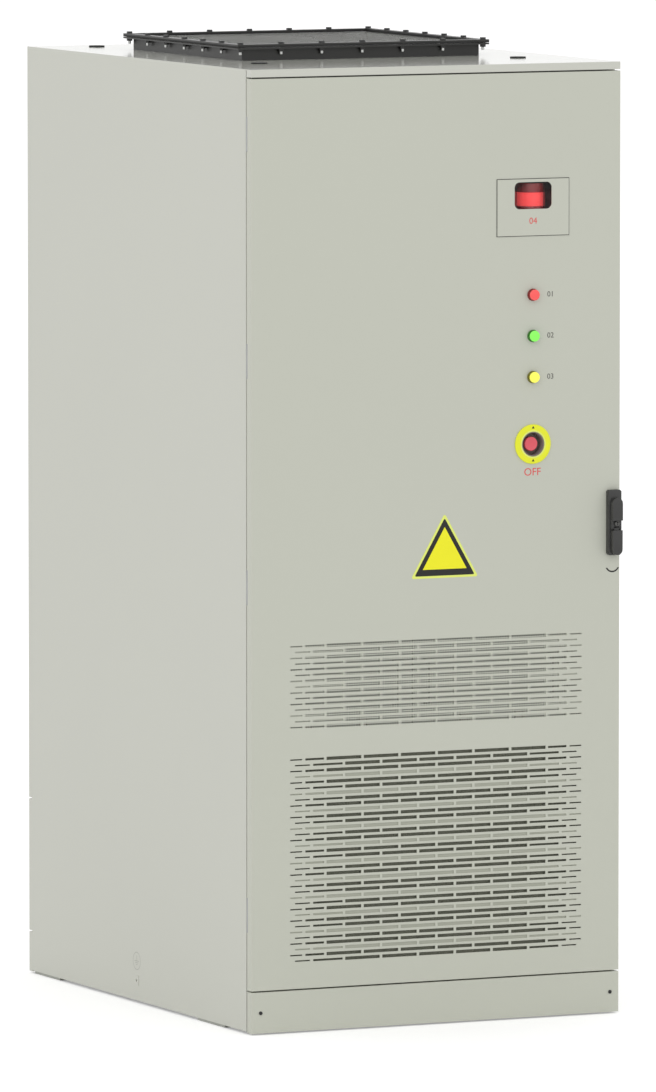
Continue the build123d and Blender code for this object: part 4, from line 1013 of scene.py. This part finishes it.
class CABINET_OT_bolts(bpy.types.Operator):
    """Turns the bright bolt ends that stand out under the flange nuts"""
    bl_idname = "cabinet.bolt_ends"
    bl_label = "Bolt ends"

    nut_half = 0.005
    per_side = 6
    thread_radius = 0.003
    thread_length = 0.006

    def execute(self, context):
        low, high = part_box("duct_bolts")
        middle = (low + high) / 2
        half = (high.x - low.x) / 2 - self.nut_half
        ends = []
        for index in range(self.per_side):
            step = (2 * index / self.per_side - 1) * half
            for x, y in ((step, -half), (half, step), (-step, half), (-half, -step)):
                place = (middle.x + x, middle.y + y, low.z - self.thread_length / 2)
                ends.append(add_disc("bolt_end", place, self.thread_radius, self.thread_length, along="Z",
                                     sides=16))
        piece = joined("bolt_ends", ends)
        soften(piece, 0.0006, segments=1)
        dress(piece, "bright_steel", "cabinet")
        return {"FINISHED"}


class CABINET_OT_seal(bpy.types.Operator):
    """Rounds the door's bulb seal"""
    bl_idname = "cabinet.door_seal"
    bl_label = "Door seal"

    def execute(self, context):
        rounded_node("door_seal", "_bulb", 0.0014, "seal_foam", "door", segments=3)
        return {"FINISHED"}


class CABINET_OT_screws(bpy.types.Operator):
    """Sets the small screws of the kick plate and of the module fronts"""
    bl_idname = "cabinet.screws"
    bl_label = "Screws"

    head_height = 0.0014
    kick_head = 0.0036
    kick_inset = 0.019
    kick_height = 0.043
    module_head = 0.0034
    module_face = 0.026
    module_edge = 0.009
    module_seam = 0.012
    module_corner = 0.010

    def execute(self, context):
        low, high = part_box("front_kick_plate")
        for side, word in ((-1, "left"), (1, "right")):
            name = "kick_screw_" + word
            place = (side * (high.x - self.kick_inset), low.y, self.kick_height)
            dress(pan_head(name, place, self.kick_head, self.head_height), "black_moulding", "cabinet")
            dress(cross_recess_shade(name, place, self.kick_head, self.head_height), "black_ink", "cabinet")
        for row in MODULE_ROWS:
            self.module_screws(row)
        return {"FINISHED"}

    def module_screws(self, row):
        low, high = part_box("battery_row_%d" % row)
        heads = []
        for x in (low.x + self.module_edge, -self.module_seam, self.module_seam, high.x - self.module_edge):
            for z in (low.z + self.module_corner, high.z - self.module_corner):
                heads.append(pan_head("module_screw", (x, low.y + self.module_face, z), self.module_head,
                                      self.head_height))
        dress(joined("module_screws_%d" % row, heads), "bright_steel", "cabinet")


# ---------------------------------------------------------------- marks
class CABINET_OT_marks(bpy.types.Operator):
    """Prints the plain numbers, the swing arc, the stop word and the earth sign"""
    bl_idname = "cabinet.marks"
    bl_label = "Marks"

    alarm_digit = 0.0125
    alarm_digit_rise = 0.0284
    number_half = 0.009
    stop_word_drop = 0.0555
    arc_radius = 0.0145
    arc_line = 0.0015
    arc_drop = 0.019
    arc_cut = 0.0065
    earth_line = 0.0007
    earth_ring = 0.0175
    earth_bar = 0.0006
    earth_step = 0.0035
    earth_stem = 0.011
    earth_place = (-0.0455, 0.084)
    ink = 0.0001

    def execute(self, context):
        marks = context.scene.cabinet_marks
        half_print = marks.thickness / 2
        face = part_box("door_panel")[0].y - half_print
        for number, colour in enumerate(("red", "green", "yellow"), 1):
            lamp = centre("lamp_" + colour)
            self.word("lamp_number_%d" % number, "0%d" % number, marks.digit,
                      (lamp.x + marks.gap + self.number_half, face, lamp.z), "dark_ink")
        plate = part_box("alarm_plate")[0]
        self.word("alarm_number", "04", self.alarm_digit,
                  (centre("alarm_plate").x, plate.y - half_print, plate.z + self.alarm_digit_rise), "red_ink")
        stop = centre("stop_plate")
        self.word("stop_word", "OFF", marks.stop_digit, (stop.x, face, stop.z - self.stop_word_drop),
                  "red_ink")
        self.swing_arc(face)
        self.earth_sign()
        return {"FINISHED"}

    def word(self, name, body, height, middle, finish):
        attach(sprayed_text(name, body, height, middle, finish_named(finish)), "door")

    def swing_arc(self, face):
        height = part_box("handle_base")[0].z - self.arc_drop
        middle = (centre("handle_base").x, face, height)
        nothing_selected()
        bpy.ops.mesh.primitive_torus_add(major_segments=72, minor_segments=8, major_radius=self.arc_radius,
                                         minor_radius=self.arc_line, location=middle, rotation=FRONT_TURN)
        arc = fresh("swing_arc")
        bpy.ops.object.transform_apply(location=True, rotation=True, scale=True)
        faces_where(arc, lambda place, normal: place.z > height - self.arc_cut)
        bpy.ops.mesh.delete(type="FACE")
        bpy.ops.mesh.select_mode(type="EDGE")
        bpy.ops.mesh.select_non_manifold()
        bpy.ops.mesh.fill_holes(sides=0)
        bpy.ops.mesh.select_all(action="SELECT")
        bpy.ops.transform.resize(value=(1, 0.12, 1), center_override=middle)
        finish_edit(arc)
        dress(arc, "black_ink", "door")

    def earth_sign(self):
        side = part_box("side_panel_left")[0].x + 0.001 - self.ink
        y, z = self.earth_place
        nothing_selected()
        bpy.ops.mesh.primitive_torus_add(major_segments=64, minor_segments=6, major_radius=self.earth_ring,
                                         minor_radius=self.earth_line, location=(side, y, z),
                                         rotation=(0, math.pi / 2, 0))
        ring = fresh("earth_ring")
        ring.scale = (1, 1, 0.2)
        bpy.ops.object.transform_apply(location=True, rotation=True, scale=True)
        bars = [(self.earth_bar, z, z + self.earth_stem)]
        for step in range(3):
            height = z - step * self.earth_step
            bars.append(((3 - step) * self.earth_step, height - self.earth_bar, height + self.earth_bar))
        parts = [ring]
        for half, bottom, top in bars:
            parts.append(add_box("earth_bar", (side - self.ink, y - half, bottom),
                                 (side + self.ink, y + half, top)))
        dress(joined("earth_sign", parts), "faint_ink", "cabinet")


class CABINET_OT_triangle(bpy.types.Operator):
    """Fixes the blank triangular plate to the door"""
    bl_idname = "cabinet.blank_plate"
    bl_label = "Blank plate"

    def execute(self, context):
        marks = context.scene.cabinet_marks
        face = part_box("door_panel")[0].y
        for name, shape, lift, finish in (("plate_edge", marks.plate_edge, 0.0003, "pale_foil"),
                                          ("plate_rim", marks.plate_rim, 0.0005, "black_ink"),
                                          ("plate_field", marks.plate_field, 0.0007, "yellow_foil")):
            side, foot, corner = shape
            reach = side / math.sqrt(3)
            middle = Vector((marks.plate_x, face - lift / 2, foot + reach / 2))
            nothing_selected()
            bpy.ops.mesh.primitive_cylinder_add(vertices=3, radius=reach, depth=lift, location=middle,
                                                rotation=FRONT_TURN)
            layer = fresh(name)
            bpy.ops.object.transform_apply(location=True, rotation=True, scale=True)
            if max(vertex.co.z for vertex in layer.data.vertices) < middle.z + reach - 1e-4:
                only(layer)
                bpy.ops.object.mode_set(mode="EDIT")
                bpy.ops.mesh.select_all(action="SELECT")
                bpy.ops.transform.rotate(value=math.pi, orient_axis="Y", center_override=middle)
                finish_edit(layer)
            self.round_corners(layer, corner)
            dress(layer, finish, "door")
        return {"FINISHED"}

    def round_corners(self, layer, radius):
        only(layer)
        bpy.ops.object.mode_set(mode="EDIT")
        bpy.ops.mesh.select_mode(type="EDGE")
        bpy.ops.mesh.select_all(action="DESELECT")
        shape = bmesh.from_edit_mesh(layer.data)
        for edge in shape.edges:
            run = edge.verts[1].co - edge.verts[0].co
            edge.select = abs(run.y) > 0.9 * run.length
        bmesh.update_edit_mesh(layer.data)
        bpy.ops.mesh.bevel(offset=radius, segments=6, affect="EDGES")
        finish_edit(layer)


# ---------------------------------------------------------------- inside
class CABINET_OT_modules(bpy.types.Operator):
    """Dresses the module fronts: sockets and status windows"""
    bl_idname = "cabinet.modules"
    bl_label = "Battery modules"

    column_half = 0.171
    socket_side = 0.060
    socket_rise = 0.022
    socket_half = Vector((0.010, 0.007, 0.013))
    window_half = Vector((0.020, 0.0005, 0.005))
    window_lift = 0.0037
    window_drop = 0.031

    def execute(self, context):
        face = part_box("module_terminals")[1].y
        sockets = []
        windows = []
        for row in MODULE_ROWS:
            low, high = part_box("battery_row_%d" % row)
            for column in (-1, 1):
                middle = column * self.column_half
                for side in (-1, 1):
                    sockets.append(self.socket(Vector((middle + side * self.socket_side,
                                                       face - self.socket_half.y,
                                                       low.z + self.socket_rise))))
                place = Vector((middle, face + self.window_lift, high.z - self.window_drop))
                window = add_box("status", place - self.window_half, place + self.window_half)
                soften(window, 0.0004)
                windows.append(window)
        dress(joined("module_sockets", sockets), "orange_moulding", "cabinet", "module_terminals")
        dress(joined("module_status_windows", windows), "black_ink", "cabinet")
        return {"FINISHED"}

    def socket(self, middle):
        socket = add_box("socket", middle - self.socket_half, middle + self.socket_half)
        front_faces(socket)
        bpy.ops.mesh.inset(thickness=0.0028, depth=0)
        bpy.ops.mesh.extrude_region_move()
        bpy.ops.transform.translate(value=(0, 0.008, 0))
        finish_edit(socket)
        return soften(socket, 0.0006)


class CABINET_OT_gear(bpy.types.Operator):
    """Rounds the switchgear cases and adds their screws, vent slots drawn as painted shade, display and
    switch words
    """
    bl_idname = "cabinet.switchgear"
    bl_label = "Switchgear"

    word_height = 0.008
    word_rise = 0.041
    breaker_step = 0.070
    breaker_pole = 0.046
    breaker_screw_rise = 0.108
    contactor_places = (-0.210, -0.090)
    contactor_step = 0.064
    contactor_pole = 0.022
    contactor_screw_rise = 0.047
    controller_screw_side = 0.113
    slot_count = 9
    slot_pitch = 0.010
    slot_height = 0.004
    slot_foot = 0.022
    slot_margin = 0.010

    def execute(self, context):
        for node, radius, finish, body in (("main_breaker", 0.0022, "grey_moulding", "cabinet"),
                                           ("contactors", 0.0018, "grey_moulding", "cabinet"),
                                           ("controller", 0.0020, "device_white", "cabinet"),
                                           ("power_supply", 0.0012, "zinc_plate", "cabinet"),
                                           ("busbars", 0.0008, "copper_bar", "cabinet"),
                                           ("breaker_toggle", 0.0010, "black_moulding", "toggle")):
            rounded_node(node, "_rounded", radius, finish, body)
        self.words()
        self.screws()
        self.slot_shade_and_display()
        return {"FINISHED"}

    def words(self):
        middle = centre("main_breaker")
        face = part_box("main_breaker")[0].y - 0.0001
        for body, side in (("ON", 1), ("OFF", -1)):
            word = sprayed_text("breaker_" + body.lower(), body, self.word_height,
                                (middle.x, face, middle.z + side * self.word_rise),
                                finish_named("device_white"))
            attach(word, "cabinet")

    def screws(self):
        places = []
        middle = centre("main_breaker")
        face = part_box("main_breaker")[1].y - self.breaker_step
        for pole in (-1, 0, 1):
            for side in (-1, 1):
                places.append((0.008, (middle.x + pole * self.breaker_pole, face,
                                       middle.z + side * self.breaker_screw_rise)))
        middle = centre("contactors")
        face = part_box("contactors")[1].y - self.contactor_step
        for x in self.contactor_places:
            for pole in (-1, 0, 1):
                for side in (-1, 1):
                    places.append((0.006, (x + pole * self.contactor_pole, face,
                                           middle.z + side * self.contactor_screw_rise)))
        low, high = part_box("controller")
        middle = centre("controller")
        for side in (-1, 1):
            for z in (high.z - 0.012, low.z + 0.026):
                places.append((0.004, (middle.x + side * self.controller_screw_side, low.y, z)))
        heads = [pan_head("gear_screw", place, radius, radius * 0.4) for radius, place in places]
        dress(joined("gear_screws", heads), "bright_steel", "cabinet")

    def slot_shade_and_display(self):
        """Vent slots of the power supply, flat black marks that paint the shade inside them, and the
        controller's display.
        """
        low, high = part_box("power_supply")
        marks = []
        for step in range(self.slot_count):
            z = low.z + self.slot_foot + step * self.slot_pitch
            # flat black slot: painted shade for the hole of a vent slot
            marks.append(add_box("slot", (low.x + self.slot_margin, low.y - 0.0002, z),
                                 (high.x - self.slot_margin, low.y, z + self.slot_height)))
        low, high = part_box("controller")
        marks.append(add_box("display", (low.x + 0.030, low.y - 0.0004, high.z - 0.075),
                             (low.x + 0.120, low.y, high.z - 0.030)))
        dress(joined("gear_dark_marks", marks), "black_ink", "cabinet")


# ---------------------------------------------------------------- panel, registration
OPERATORS = (CABINET_OT_stage, CABINET_OT_finishes, CABINET_OT_screens, CABINET_OT_filter, CABINET_OT_lamps,
             CABINET_OT_stop, CABINET_OT_beacon, CABINET_OT_handle, CABINET_OT_bolts, CABINET_OT_seal,
             CABINET_OT_screws, CABINET_OT_marks, CABINET_OT_triangle, CABINET_OT_modules, CABINET_OT_gear)


class CABINET_PT_panel(bpy.types.Panel):
    """Lists the cabinet's pieces"""
    bl_idname = "CABINET_PT_panel"
    bl_label = "Battery cabinet"
    bl_space_type = "VIEW_3D"
    bl_region_type = "UI"
    bl_category = "Cabinet"

    def draw(self, context):
        for operator in OPERATORS:
            self.layout.operator(operator.bl_idname)


SETTINGS = {"cabinet_coats": CabinetCoats, "cabinet_signals": CabinetSignals, "cabinet_marks": CabinetMarks,
            "cabinet_studio": CabinetStudio}


def register():
    for group in SETTINGS.values():
        bpy.utils.register_class(group)
    for operator in OPERATORS:
        bpy.utils.register_class(operator)
    bpy.utils.register_class(CABINET_PT_panel)
    for name, group in SETTINGS.items():
        setattr(bpy.types.Scene, name, PointerProperty(type=group))


def unregister():
    for name in SETTINGS:
        delattr(bpy.types.Scene, name)
    bpy.utils.unregister_class(CABINET_PT_panel)
    for operator in reversed(OPERATORS):
        bpy.utils.unregister_class(operator)
    for group in SETTINGS.values():
        bpy.utils.unregister_class(group)


def main():
    register()
    for operator in OPERATORS:
        family, action = operator.bl_idname.split(".")
        getattr(getattr(bpy.ops, family), action)()
    nothing_selected()


if __name__ == "__main__":
    main()
